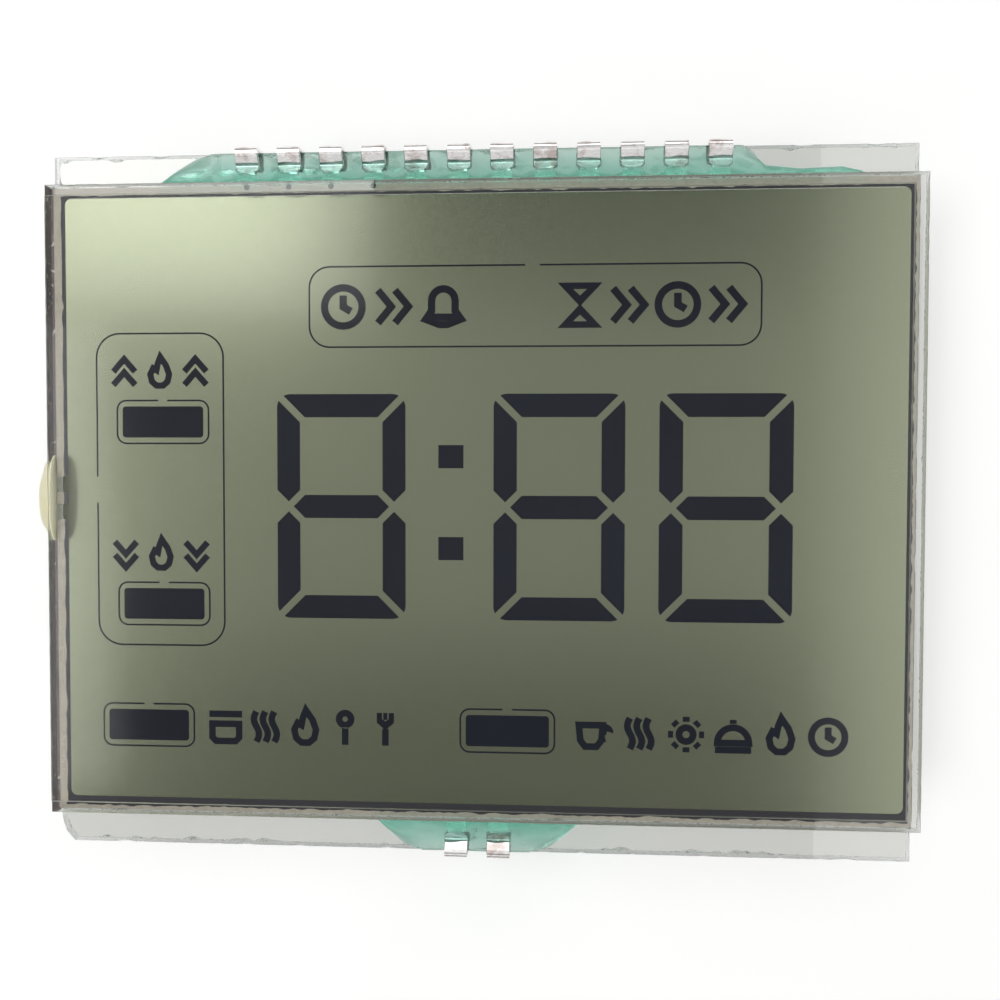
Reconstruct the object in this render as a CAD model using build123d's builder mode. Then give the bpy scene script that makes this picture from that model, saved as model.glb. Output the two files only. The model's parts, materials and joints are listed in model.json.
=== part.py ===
from build123d import *
import os
from math import acos, cos

# Twisted-nematic segment display with clip-on pins, in millimetres.
# +Z faces the viewer and +Y points to the edge with the long pin row.
# The origin is the middle of the reflector's rear face, under the middle of the rear glass.

# Glass plates and the ledges that the rear plate shows beyond the front one
rear_glass_width = 51.3
rear_glass_height = 41.85
glass_thickness = 1.1
top_ledge = 1.9
bottom_ledge = 2.1
left_overhang = 0.1
right_overhang = 0.3
clipped_corner_x = 0.8
clipped_corner_y = 1.4

# Films on both outer faces, cut back from the plates' edges
polarizer_thickness = 0.18
reflector_thickness = 0.1
film_top_margin = 0.66
film_bottom_margin = 0.69
front_film_left_margin = 0.05
front_film_right_margin = 0.85
rear_film_left_margin = 0.2
rear_film_right_margin = 0.3

# The cell: the real gap is a few thousandths of a millimetre, drawn thicker to stay a solid
cell_gap = 0.06
electrode_thickness = 0.02
seal_edge_margin = 0.08
seal_width_left = 0.69
seal_width_right = 0.42
seal_width_top = 0.58
seal_width_bottom = 0.74
seal_corner_radius = 0.4
fill_port_width = 2.62
fill_port_y = 0.28
fill_port_pillar = 0.73
end_seal_length = 5.5
end_seal_bulge = 1.1
end_seal_taper_angle = 20
end_seal_depth = 0.4
common_band_count = 4
common_band_spacing = 0.3
common_band_inset = 0.5

# Clip-on pins on the standard 2.54 mm grid
pin_pitch = 2.54
top_pin_count = 12
bottom_pin_count = 2
top_row_offset = 0.33
bottom_row_offset = 0.18
pin_sheet = 0.25
clip_width = 1.4
clip_clearance = 0.08
clip_bend_radius = 0.25
front_bend_height = 0.8
front_contact_reach = 0.8
front_tip_reach = 1.28
front_tip_height = 0.33
rear_finger_reach = 1.1
leg_width = 0.5
leg_slot = 0.06
leg_length = 6.5
leg_point = 0.15

# Contact pads under the clips, and the paste dots that lead the first pads to the front plate
pad_width = 1.1
pad_edge_margin = 0.3
crossover_count = 4
crossover_radius = 0.17
crossover_inset = 0.18

# Adhesive beads: height at the front plate, halfway and at the ledge's edge
bead_wall_height = 0.62
bead_middle_height = 0.46
bead_edge_height = 0.24

# Ends of the beads in plan, from the outermost pins: along the row and across the ledge. The
# upper bead's are shares of the stretch that is left to the glass corner and of the ledge.
top_bead_left_shares = [(0.47, 0), (0.28, 0.47), (0.09, 1)]
top_bead_right_shares = [(0.11, 1), (0.23, 0.45), (0.63, 0.37), (0.75, 0)]
bottom_bead_run = 5.1
bottom_bead_swell = 4.1
bottom_bead_swell_share = 0.57
bottom_bead_shoulder = 2.7

# Electrode artwork as shares of the cell's width and height, with places from its middle.
# A digit is about 7.8 mm wide and 13.5 mm high.
digit_size_share = (0.1553, 0.3701)
digit_place_shares = [(-0.1632, -0.0096), (0.0974, -0.0096), (0.2925, -0.0096)]
colon_dot_size_share = (0.03, 0.0379)
colon_dot_place_shares = [(-0.0311, -0.0778), (-0.0311, 0.0729)]
setting_frame_size_share = (0.5347, 0.1339)
setting_frame_place_share = (0.0653, 0.3178)
level_frame_size_share = (0.1583, 0.5219)
level_frame_place_share = (-0.3847, 0.0168)
bar_size_share = (0.0995, 0.0517)
bar_outline_size_share = (0.1147, 0.074)
bar_place_shares = {
    "upper_level": (-0.3813, 0.1298),
    "lower_level": (-0.3813, -0.1735),
    "first_mode": (-0.4015, -0.3778),
    "second_mode": (0.0367, -0.3778),
}
digit_corner_radius = 0.8
segment_width = 1.385
segment_gap = 0.42
outline_stroke = 0.1
setting_frame_radius = 1.28
setting_frame_break = 0.87
level_frame_radius = 1.5
level_frame_break = 1.6
bar_radius = 0.2
bar_outline_radius = 0.62
bar_outline_break = 0.57

# Heights of the layers, from the reflector's rear face up
rear_polarizer_z = reflector_thickness
rear_glass_z = rear_polarizer_z + polarizer_thickness
ledge_z = rear_glass_z + glass_thickness
front_glass_z = ledge_z + cell_gap
front_polarizer_z = front_glass_z + glass_thickness
cell_middle_z = ledge_z + cell_gap / 2

# Edges of both plates and of the films
rear_left = -rear_glass_width / 2
rear_right = rear_glass_width / 2
rear_top = rear_glass_height / 2
rear_bottom = -rear_glass_height / 2
front_left = rear_left - left_overhang
front_right = rear_right + right_overhang
front_top = rear_top - top_ledge
front_bottom = rear_bottom + bottom_ledge
front_centre = ((front_left + front_right) / 2, (front_bottom + front_top) / 2)
film_top = front_top - film_top_margin
film_bottom = front_bottom + film_bottom_margin

# Edges of the seal ring and of the cell inside it
seal_left = rear_left + seal_edge_margin
seal_right = rear_right - seal_edge_margin
seal_top = front_top - seal_edge_margin
seal_bottom = front_bottom + seal_edge_margin
cell_left = seal_left + seal_width_left
cell_right = seal_right - seal_width_right
cell_top = seal_top - seal_width_top
cell_bottom = seal_bottom + seal_width_bottom
cell_width = cell_right - cell_left
cell_height = cell_top - cell_bottom
cell_centre = ((cell_left + cell_right) / 2, (cell_bottom + cell_top) / 2)
port_plug_x = seal_left + end_seal_depth

# Middles of the pins along both rows
first_top_pin_x = top_row_offset - (top_pin_count - 1) / 2 * pin_pitch
first_bottom_pin_x = bottom_row_offset - (bottom_pin_count - 1) / 2 * pin_pitch
top_pin_x = [first_top_pin_x + i * pin_pitch for i in range(top_pin_count)]
bottom_pin_x = [first_bottom_pin_x + i * pin_pitch for i in range(bottom_pin_count)]
last_top_pin_x = top_pin_x[-1]
last_bottom_pin_x = bottom_pin_x[-1]


# The two glass plates. The rear one has lost its lower left corner.
with BuildPart() as rear_glass:
    with BuildSketch(Plane.XY.offset(rear_glass_z)):
        Rectangle(rear_glass_width, rear_glass_height)
        with BuildLine():
            Polyline(
                (rear_left, rear_bottom),
                (rear_left + clipped_corner_x, rear_bottom),
                (rear_left, rear_bottom + clipped_corner_y),
                close=True,
            )
        make_face(mode=Mode.SUBTRACT)
    extrude(amount=glass_thickness)

with BuildPart() as front_glass:
    with BuildSketch(Plane.XY.offset(front_glass_z)):
        with Locations(front_centre):
            Rectangle(front_right - front_left, front_top - front_bottom)
    extrude(amount=glass_thickness)


# The films stuck to the outer faces
def draw_film(left, right):
    """Draw the outline of a film between its left and right edges."""
    with Locations(((left + right) / 2, (film_bottom + film_top) / 2)):
        Rectangle(right - left, film_top - film_bottom)


with BuildPart() as front_polarizer:
    with BuildSketch(Plane.XY.offset(front_polarizer_z)):
        draw_film(front_left + front_film_left_margin, front_right - front_film_right_margin)
    extrude(amount=polarizer_thickness)

with BuildPart() as rear_polarizer:
    with BuildSketch(Plane.XY.offset(rear_polarizer_z)):
        draw_film(rear_left + rear_film_left_margin, rear_right - rear_film_right_margin)
    extrude(amount=polarizer_thickness)

with BuildPart() as reflector:
    with BuildSketch():
        draw_film(rear_left + rear_film_left_margin, rear_right - rear_film_right_margin)
    extrude(amount=reflector_thickness)


# Contact pads on the ledges, which end under the seal or under a paste dot
def draw_pads(pin_places, ledge_edge, inner_end):
    """Draw a pad under each pin, from near the ledge's edge to inner_end."""
    outer_end = ledge_edge - pad_edge_margin if ledge_edge > 0 else ledge_edge + pad_edge_margin
    for x in pin_places:
        with Locations((x, (outer_end + inner_end) / 2)):
            Rectangle(pad_width, abs(outer_end - inner_end))


crossover_y = front_top - crossover_inset
with BuildPart() as contact_pads:
    with BuildSketch(Plane.XY.offset(ledge_z)):
        draw_pads(top_pin_x[:crossover_count], rear_top, crossover_y - crossover_radius)
        draw_pads(top_pin_x[crossover_count:], rear_top, seal_top)
        draw_pads(bottom_pin_x, rear_bottom, seal_bottom)
    extrude(amount=electrode_thickness)

with BuildPart() as crossover_dots:
    with BuildSketch(Plane.XY.offset(ledge_z + electrode_thickness)):
        for x in top_pin_x[:crossover_count]:
            with Locations((x, crossover_y)):
                Circle(crossover_radius)
    extrude(amount=cell_gap - electrode_thickness)


# The seal ring, broken on the left by the fill port with a pillar in its middle
with BuildPart() as perimeter_seal:
    with BuildSketch(Plane.XY.offset(ledge_z)):
        with Locations(((seal_left + seal_right) / 2, (seal_bottom + seal_top) / 2)):
            Rectangle(seal_right - seal_left, seal_top - seal_bottom)
        with Locations(cell_centre):
            RectangleRounded(cell_width, cell_height, seal_corner_radius, mode=Mode.SUBTRACT)
        with Locations(((seal_left + cell_left) / 2, fill_port_y)):
            Rectangle(2 * seal_width_left, fill_port_width, mode=Mode.SUBTRACT)
            Rectangle(seal_width_left, fill_port_pillar)
    extrude(amount=cell_gap)
    add(crossover_dots.part, mode=Mode.SUBTRACT)
    add(contact_pads.part, mode=Mode.SUBTRACT)


# Plug of the fill port: a bead on the plates' left edges with a tongue into the port
with BuildPart() as end_seal:
    with BuildSketch(Plane.XY.offset(cell_middle_z)):
        with Locations((rear_left, fill_port_y)):
            SlotOverall(end_seal_length, 2 * end_seal_bulge, rotation=90)
    extrude(amount=end_seal_bulge, both=True, taper=end_seal_taper_angle)
    with Locations((rear_left + end_seal_length / 2, fill_port_y, cell_middle_z)):
        Box(end_seal_length, end_seal_length, end_seal_length, mode=Mode.SUBTRACT)
    with BuildSketch(Plane.XY.offset(ledge_z)):
        with Locations(((rear_left + port_plug_x) / 2, fill_port_y)):
            Rectangle(port_plug_x - rear_left, fill_port_width)
    extrude(amount=cell_gap)
    add(front_glass.part, mode=Mode.SUBTRACT)
    add(perimeter_seal.part, mode=Mode.SUBTRACT)


# Electrodes on the rear plate: three digits of seven segments, a colon, frames and bars
def size_on_cell(share):
    """Return a share of the cell's width and height as a size."""
    return (share[0] * cell_width, share[1] * cell_height)


def place_on_cell(share):
    """Return a share of the cell's width and height, from its middle, as a place."""
    return (cell_centre[0] + share[0] * cell_width, cell_centre[1] + share[1] * cell_height)


digit_width, digit_height = size_on_cell(digit_size_share)
half_segment = segment_width / 2
mitre_shift = segment_gap / 2**0.5
side_x = digit_width / 2
end_y = digit_height / 2
segment_outlines = {
    "a": [
        (mitre_shift - side_x, end_y),
        (side_x - mitre_shift, end_y),
        (side_x - segment_width - mitre_shift, end_y - segment_width),
        (segment_width + mitre_shift - side_x, end_y - segment_width),
    ],
    "b": [
        (side_x, end_y - mitre_shift),
        (side_x, half_segment + mitre_shift),
        (side_x - half_segment, mitre_shift),
        (side_x - segment_width, half_segment + mitre_shift),
        (side_x - segment_width, end_y - segment_width - mitre_shift),
    ],
    "g": [
        (half_segment + mitre_shift - side_x, 0),
        (segment_width + mitre_shift - side_x, half_segment),
        (side_x - segment_width - mitre_shift, half_segment),
        (side_x - half_segment - mitre_shift, 0),
        (side_x - segment_width - mitre_shift, -half_segment),
        (segment_width + mitre_shift - side_x, -half_segment),
    ],
}
segment_outlines["c"] = [(x, -y) for x, y in segment_outlines["b"]]
segment_outlines["d"] = [(x, -y) for x, y in segment_outlines["a"]]
segment_outlines["e"] = [(-x, -y) for x, y in segment_outlines["b"]]
segment_outlines["f"] = [(-x, y) for x, y in segment_outlines["b"]]


def make_segment(outline, centre):
    """Return one segment of the digit that stands at centre."""
    with BuildPart() as segment:
        with BuildSketch(Plane.XY.offset(ledge_z)):
            with Locations(centre):
                RectangleRounded(digit_width, digit_height, digit_corner_radius)
            with BuildLine():
                Polyline(*[(centre[0] + x, centre[1] + y) for x, y in outline], close=True)
            make_face(mode=Mode.INTERSECT)
        extrude(amount=electrode_thickness)
    return segment.part


def make_outline(size_share, centre, radius, break_size, break_side):
    """Return a thin rounded outline that is open over a short break.

    The break is in the middle of one side, which break_side gives as a direction.
    """
    width, height = size_on_cell(size_share)
    break_place = (
        centre[0] + break_side[0] * width / 2,
        centre[1] + break_side[1] * height / 2,
    )
    with BuildPart() as outline:
        with BuildSketch(Plane.XY.offset(ledge_z)):
            with Locations(centre):
                RectangleRounded(width, height, radius)
                RectangleRounded(
                    width - 2 * outline_stroke,
                    height - 2 * outline_stroke,
                    radius - outline_stroke,
                    mode=Mode.SUBTRACT,
                )
            with Locations(break_place):
                Rectangle(break_size, break_size, mode=Mode.SUBTRACT)
        extrude(amount=electrode_thickness)
    return outline.part


def make_bar(centre):
    """Return one plain bar with rounded corners."""
    with BuildPart() as bar:
        with BuildSketch(Plane.XY.offset(ledge_z)):
            with Locations(centre):
                RectangleRounded(*size_on_cell(bar_size_share), bar_radius)
        extrude(amount=electrode_thickness)
    return bar.part


electrodes = {}
for number, share in enumerate(digit_place_shares, start=1):
    for letter in "abcdefg":
        electrodes[f"digit_{number}_segment_{letter}"] = make_segment(
            segment_outlines[letter], place_on_cell(share)
        )

with BuildPart() as colon:
    with BuildSketch(Plane.XY.offset(ledge_z)):
        for share in colon_dot_place_shares:
            with Locations(place_on_cell(share)):
                Rectangle(*size_on_cell(colon_dot_size_share))
    extrude(amount=electrode_thickness)
electrodes["colon_dots"] = colon.part

electrodes["setting_frame"] = make_outline(
    setting_frame_size_share,
    place_on_cell(setting_frame_place_share),
    setting_frame_radius,
    setting_frame_break,
    (0, 1),
)
electrodes["level_frame"] = make_outline(
    level_frame_size_share,
    place_on_cell(level_frame_place_share),
    level_frame_radius,
    level_frame_break,
    (-1, 0),
)
for place, share in bar_place_shares.items():
    centre = place_on_cell(share)
    electrodes[f"{place}_bar"] = make_bar(centre)
    electrodes[f"{place}_outline"] = make_outline(
        bar_outline_size_share, centre, bar_outline_radius, bar_outline_break, (0, 1)
    )


# Common electrodes on the front plate: plain bands across the cell
band_area_height = cell_height - 2 * common_band_inset
band_pitch = (band_area_height + common_band_spacing) / common_band_count
first_band_y = cell_centre[1] - (common_band_count - 1) / 2 * band_pitch
with BuildPart() as common_electrodes:
    with BuildSketch(Plane.XY.offset(front_glass_z - electrode_thickness)):
        for i in range(common_band_count):
            with Locations((cell_centre[0], first_band_y + i * band_pitch)):
                Rectangle(cell_width - 2 * common_band_inset, band_pitch - common_band_spacing)
    extrude(amount=electrode_thickness)


# Liquid crystal: an even layer between both coatings, which reaches into the fill port
with BuildPart() as liquid_crystal:
    with BuildSketch(Plane.XY.offset(ledge_z + electrode_thickness)):
        with Locations(cell_centre):
            RectangleRounded(cell_width, cell_height, seal_corner_radius)
        with Locations(((port_plug_x + cell_left) / 2, fill_port_y)):
            Rectangle(cell_left - port_plug_x, fill_port_width)
    extrude(amount=cell_gap - 2 * electrode_thickness)
    add(perimeter_seal.part, mode=Mode.SUBTRACT)


# A clip-on pin, stamped from strip: a wide sprung finger on the ledge, two flat ones behind it
def finger_path(web_x, bend, contact, tip):
    """Return the corner points of a finger whose rounded contact just meets the glass.

    All points are pairs of reach over the glass and height above it, to the strip's middle.
    The rounded corner at the contact cuts off a little height, which the corner is lowered by.
    """
    fall = Vector(contact[0] - bend[0], contact[1] - bend[1]).normalized()
    rise = Vector(tip[0] - contact[0], tip[1] - contact[1]).normalized()
    half_turn = acos(fall.dot(rise)) / 2
    lean = (rise - fall).normalized().Y
    lift = clip_bend_radius * (lean / cos(half_turn) - 1)
    return [(web_x, 0), bend, (contact[0], contact[1] - lift), tip]


def make_pin(x, ledge_edge):
    """Return the pin that grips the rear plate's edge at ledge_edge."""
    outward = 1 if ledge_edge > 0 else -1
    web_x = clip_clearance + pin_sheet / 2
    rear_finger_width = (clip_width - leg_width) / 2 - leg_slot
    rear_finger_place = (leg_width + rear_finger_width) / 2 + leg_slot
    front_path = finger_path(
        web_x,
        (web_x, front_bend_height),
        (-front_contact_reach, electrode_thickness + pin_sheet / 2),
        (-front_tip_reach, front_tip_height),
    )
    rear_path = [
        (web_x, -glass_thickness / 2),
        (web_x, pin_sheet / 2),
        (-rear_finger_reach, pin_sheet / 2),
    ]
    front_side = Plane(
        origin=(x, ledge_edge, ledge_z), x_dir=(0, outward, 0), z_dir=(outward, 0, 0)
    )
    rear_side = Plane(
        origin=(x, ledge_edge, rear_glass_z), x_dir=(0, outward, 0), z_dir=(-outward, 0, 0)
    )
    leg_face = Plane(
        origin=(x, ledge_edge + outward * web_x, ledge_z), x_dir=(1, 0, 0), z_dir=(0, -1, 0)
    )
    leg_end = -glass_thickness - leg_length
    with BuildPart() as pin:
        with BuildSketch(front_side):
            with BuildLine():
                FilletPolyline(*front_path, radius=clip_bend_radius)
                Line((web_x, 0), (web_x, -glass_thickness / 2))
            trace(line_width=pin_sheet)
        extrude(amount=clip_width / 2, both=True)
        for place in (-rear_finger_place, rear_finger_place):
            with BuildSketch(rear_side.offset(place)):
                with BuildLine():
                    FilletPolyline(*rear_path, radius=clip_clearance + pin_sheet / 2)
                trace(line_width=pin_sheet)
            extrude(amount=rear_finger_width / 2, both=True)
        with BuildSketch(leg_face):
            with BuildLine():
                Polyline(
                    (leg_width / 2, -glass_thickness / 2),
                    (leg_width / 2, leg_end + leg_point),
                    (leg_width / 2 - leg_point, leg_end),
                    (leg_point - leg_width / 2, leg_end),
                    (-leg_width / 2, leg_end + leg_point),
                    (-leg_width / 2, -glass_thickness / 2),
                    close=True,
                )
            make_face()
        extrude(amount=pin_sheet / 2, both=True)
    return pin.part


pins = {}
for number, x in enumerate(top_pin_x, start=1):
    pins[f"top_pin_{number:02d}"] = make_pin(x, rear_top)
for number, x in enumerate(bottom_pin_x, start=1):
    pins[f"bottom_pin_{number:02d}"] = make_pin(x, rear_bottom)


# Adhesive beads: a fillet against the front plate's edge that runs down to the ledge's edge
def make_bead(ledge_edge, plate_edge, left_end, right_end):
    """Return a bead around its pins and pads, between two curved ends in plan."""
    middle_y = (ledge_edge + plate_edge) / 2
    start_x = left_end[0][0]
    with BuildPart() as bead:
        with BuildSketch(Plane.YZ.offset(start_x)):
            with BuildLine():
                Polyline(
                    (ledge_edge, ledge_z + bead_edge_height),
                    (ledge_edge, ledge_z),
                    (plate_edge, ledge_z),
                    (plate_edge, ledge_z + bead_wall_height),
                )
                ThreePointArc(
                    (plate_edge, ledge_z + bead_wall_height),
                    (middle_y, ledge_z + bead_middle_height),
                    (ledge_edge, ledge_z + bead_edge_height),
                )
            make_face()
        extrude(amount=right_end[-1][0] - start_x)
        with BuildSketch(Plane.XY.offset(ledge_z)):
            with BuildLine():
                Spline(*left_end)
                Line(left_end[-1], right_end[0])
                Spline(*right_end)
                Line(right_end[-1], left_end[0])
            make_face()
        extrude(amount=glass_thickness, mode=Mode.INTERSECT)
        add(contact_pads.part, mode=Mode.SUBTRACT)
        for pin in pins.values():
            add(pin, mode=Mode.SUBTRACT)
    return bead.part


def bead_end(pin_x, run, shares, ledge_edge, plate_edge):
    """Return a bead's end as points, from shares of its run along the row and of the ledge."""
    ledge = ledge_edge - plate_edge
    return [(pin_x + along * run, plate_edge + across * ledge) for along, across in shares]


top_adhesive = make_bead(
    rear_top,
    front_top,
    bead_end(
        first_top_pin_x, rear_left - first_top_pin_x, top_bead_left_shares, rear_top, front_top
    ),
    bead_end(
        last_top_pin_x, rear_right - last_top_pin_x, top_bead_right_shares, rear_top, front_top
    ),
)
bottom_bead_shares = [
    (1, 0),
    (bottom_bead_swell / bottom_bead_run, bottom_bead_swell_share),
    (bottom_bead_shoulder / bottom_bead_run, 1),
]
bottom_adhesive = make_bead(
    rear_bottom,
    front_bottom,
    bead_end(
        first_bottom_pin_x, -bottom_bead_run, bottom_bead_shares, rear_bottom, front_bottom
    ),
    bead_end(
        last_bottom_pin_x,
        bottom_bead_run,
        bottom_bead_shares[::-1],
        rear_bottom,
        front_bottom,
    ),
)


# Labels and files
pieces = {
    "front_polarizer": front_polarizer.part,
    "front_glass": front_glass.part,
    "common_electrodes": common_electrodes.part,
    "liquid_crystal": liquid_crystal.part,
    "perimeter_seal": perimeter_seal.part,
    "end_seal": end_seal.part,
    "crossover_dots": crossover_dots.part,
    "contact_pads": contact_pads.part,
    "rear_glass": rear_glass.part,
    "rear_polarizer": rear_polarizer.part,
    "reflector": reflector.part,
    "top_adhesive": top_adhesive,
    "bottom_adhesive": bottom_adhesive,
}
pieces.update(electrodes)
pieces.update(pins)

os.makedirs("parts", exist_ok=True)
for name, piece in pieces.items():
    piece.label = name
    export_step(piece, f"parts/{name}.step")
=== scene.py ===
"""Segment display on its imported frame: glass work, films, pins, adhesive and legends."""

import json
import logging
import math
import random
from dataclasses import dataclass
from enum import Enum
from typing import Callable

import bmesh
import bpy
from mathutils import Matrix, Vector, noise

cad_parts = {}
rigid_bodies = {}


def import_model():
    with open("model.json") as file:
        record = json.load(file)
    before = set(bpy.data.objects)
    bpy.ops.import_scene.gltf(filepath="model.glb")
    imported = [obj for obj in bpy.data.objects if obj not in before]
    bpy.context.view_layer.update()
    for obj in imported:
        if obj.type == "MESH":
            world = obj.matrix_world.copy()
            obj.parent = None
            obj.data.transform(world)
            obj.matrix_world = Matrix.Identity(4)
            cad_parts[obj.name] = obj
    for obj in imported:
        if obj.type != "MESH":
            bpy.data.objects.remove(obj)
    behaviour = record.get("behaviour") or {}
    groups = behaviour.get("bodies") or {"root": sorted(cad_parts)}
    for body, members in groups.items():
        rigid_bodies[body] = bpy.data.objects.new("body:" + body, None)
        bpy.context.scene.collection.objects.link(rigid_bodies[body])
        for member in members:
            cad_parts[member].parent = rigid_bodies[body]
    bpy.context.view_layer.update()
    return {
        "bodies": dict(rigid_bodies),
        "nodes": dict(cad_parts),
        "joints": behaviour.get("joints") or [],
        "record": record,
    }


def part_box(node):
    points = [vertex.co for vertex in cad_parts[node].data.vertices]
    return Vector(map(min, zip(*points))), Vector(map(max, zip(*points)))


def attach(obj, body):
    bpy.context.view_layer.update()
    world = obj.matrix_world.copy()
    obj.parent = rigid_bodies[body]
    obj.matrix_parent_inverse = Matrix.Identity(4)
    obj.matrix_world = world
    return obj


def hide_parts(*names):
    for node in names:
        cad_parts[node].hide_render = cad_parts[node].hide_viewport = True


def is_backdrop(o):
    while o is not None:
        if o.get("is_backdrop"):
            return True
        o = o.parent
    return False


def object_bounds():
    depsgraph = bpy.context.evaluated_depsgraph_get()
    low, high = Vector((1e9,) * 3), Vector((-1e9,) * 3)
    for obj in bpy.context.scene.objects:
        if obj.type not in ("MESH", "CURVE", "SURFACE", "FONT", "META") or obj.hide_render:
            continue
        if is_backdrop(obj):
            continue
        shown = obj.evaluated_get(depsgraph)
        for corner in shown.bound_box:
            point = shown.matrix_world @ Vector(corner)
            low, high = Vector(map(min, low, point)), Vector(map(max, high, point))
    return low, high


MM = 0.001
ROOT = "root"
Colour = tuple[float, float, float]
Point = tuple[float, float]
log = logging.getLogger("segment_display")


class Face(Enum):
    """The kinds of face that a glass plate or film has, in the order of its material slots."""

    POLISHED = 0
    CUT = 1
    BONDED = 2
    RESIDUE = 3


class Digit(Enum):
    """The digits by their place, counted from the left."""

    HOURS = 1
    TENS = 2
    MINUTES = 3


class Symbol(Enum):
    """The small symbols that are printed beside the frames and the bars."""

    CLOCK = "clock"
    HOURGLASS = "hourglass"
    FORWARD = "forward"
    BELL = "bell"
    UP = "up"
    DOWN = "down"
    FLAME = "flame"
    POT = "pot"
    STEAM = "steam"
    CUP = "cup"
    CLOCHE = "cloche"
    SUN = "sun"
    SPOON = "spoon"
    FORK = "fork"


@dataclass(frozen=True)
class Rect:
    """A rectangle in the display's plane, in metres."""

    left: float
    right: float
    bottom: float
    top: float

    @staticmethod
    def of_node(node: str) -> "Rect":
        """Return the outline of a CAD node as seen from the front."""
        low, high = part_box(node)
        return Rect(low[0], high[0], low[1], high[1])

    def clamp(self, x: float, y: float) -> Point:
        """Return the point of this rectangle that lies nearest to x, y."""
        return (min(max(x, self.left), self.right), min(max(y, self.bottom), self.top))

    def shrunk(self, margin: float) -> "Rect":
        """Return this rectangle with every edge moved inwards by margin."""
        return Rect(
            self.left + margin, self.right - margin, self.bottom + margin, self.top - margin
        )

    def corners(self) -> list[Point]:
        """Return the corners, counterclockwise from the lower left.

        Returns:
            Four points.
        """
        return [
            (self.left, self.bottom),
            (self.right, self.bottom),
            (self.right, self.top),
            (self.left, self.top),
        ]


def levels(node: str) -> tuple[float, float]:
    """Return the lowest and highest z of a CAD node."""
    low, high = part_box(node)
    return (low[2], high[2])


def linear(red: int, green: int, blue: int) -> Colour:
    """Return an sRGB colour of 0 to 255 as linear light.

    Args:
        red: Red as seen on a screen.
        green: Green as seen on a screen.
        blue: Blue as seen on a screen.

    Returns:
        The same colour in the linear values that shaders take.
    """

    def channel(value: int) -> float:
        """Return one channel in linear light."""
        part = value / 255
        return part / 12.92 if part <= 0.04045 else ((part + 0.055) / 1.055) ** 2.4

    return (channel(red), channel(green), channel(blue))


class Recipe:
    """A node tree under construction, with short ways to add and join its nodes."""

    def __init__(self, tree: bpy.types.NodeTree) -> None:
        """Start on a tree."""
        self.tree = tree

    @staticmethod
    def material(name: str) -> tuple[bpy.types.Material, "Recipe"]:
        """Return a new empty material and the recipe for its tree.

        Args:
            name: Name of the material.

        Returns:
            The material and its recipe.
        """
        material = bpy.data.materials.new(name)
        material.use_nodes = True
        material.node_tree.nodes.clear()
        return material, Recipe(material.node_tree)

    def add(self, kind: str, inputs: dict | None = None, **settings: object) -> bpy.types.Node:
        """Add one node.

        Args:
            kind: Blender's name of the node type.
            inputs: Values or sockets for its inputs, by name or number.
            settings: Properties of the node.

        Returns:
            The new node.
        """
        node = self.tree.nodes.new(kind)
        for name, value in settings.items():
            setattr(node, name, value)
        for name, value in (inputs or {}).items():
            self.feed(node.inputs[name], value)
        return node

    def feed(self, socket: bpy.types.NodeSocket, value: object) -> None:
        """Join another socket to an input, or write a plain value into it.

        Args:
            socket: The input.
            value: A socket or a value.
        """
        if isinstance(value, bpy.types.NodeSocket):
            self.tree.links.new(value, socket)
        else:
            socket.default_value = value

    def math(self, operation: str, *values: object) -> bpy.types.NodeSocket:
        """Return the result of one sum on sockets or numbers."""
        inputs = dict(enumerate(values))
        return self.add("ShaderNodeMath", inputs, operation=operation).outputs[0]

    def mix(self, share: object, first: object, second: object) -> bpy.types.NodeSocket:
        """Return a blend of two colours by a share.

        Args:
            share: 0 for the first colour and 1 for the second.
            first: A colour or a socket.
            second: A colour or a socket.

        Returns:
            The blended colour's socket.
        """
        node = self.add("ShaderNodeMix", {0: share}, data_type="RGBA")
        for slot, value in ((6, first), (7, second)):
            plain = not isinstance(value, bpy.types.NodeSocket)
            self.feed(node.inputs[slot], (*value, 1.0) if plain else value)
        return node.outputs[2]

    def place(self) -> bpy.types.NodeSocket:
        """Return the Object coordinates."""
        return self.add("ShaderNodeTexCoord").outputs["Object"]

    def group(self, tree: bpy.types.NodeTree, inputs: dict) -> bpy.types.Node:
        """Place a shared node group with its own values."""
        return self.add("ShaderNodeGroup", inputs, node_tree=tree)

    def bump(self, height: object, strength: float, depth: float) -> bpy.types.NodeSocket:
        """Return a normal that follows a height.

        Args:
            height: Socket with the height.
            strength: Share of the effect.
            depth: Distance of the full height, in metres.

        Returns:
            The normal's socket.
        """
        inputs = {"Strength": strength, "Distance": depth, "Height": height}
        return self.add("ShaderNodeBump", inputs).outputs["Normal"]

    def finish(self, shader: bpy.types.NodeSocket) -> None:
        """Join a shader to the material's output."""
        self.add("ShaderNodeOutputMaterial", {"Surface": shader})

    def clear_to_lamps(self, shader: bpy.types.Node, tint: Colour) -> None:
        """Join a see-through shader that lets the lamps' light through.

        Args:
            shader: The shader that the eye sees.
            tint: Colour that the lamps' light takes on.
        """
        lamps = self.add("ShaderNodeBsdfTransparent", {"Color": (*tint, 1.0)})
        ray = self.add("ShaderNodeLightPath").outputs["Is Shadow Ray"]
        inputs = {0: ray, 1: shader.outputs[0], 2: lamps.outputs[0]}
        self.finish(self.add("ShaderNodeMixShader", inputs).outputs[0])


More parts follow.
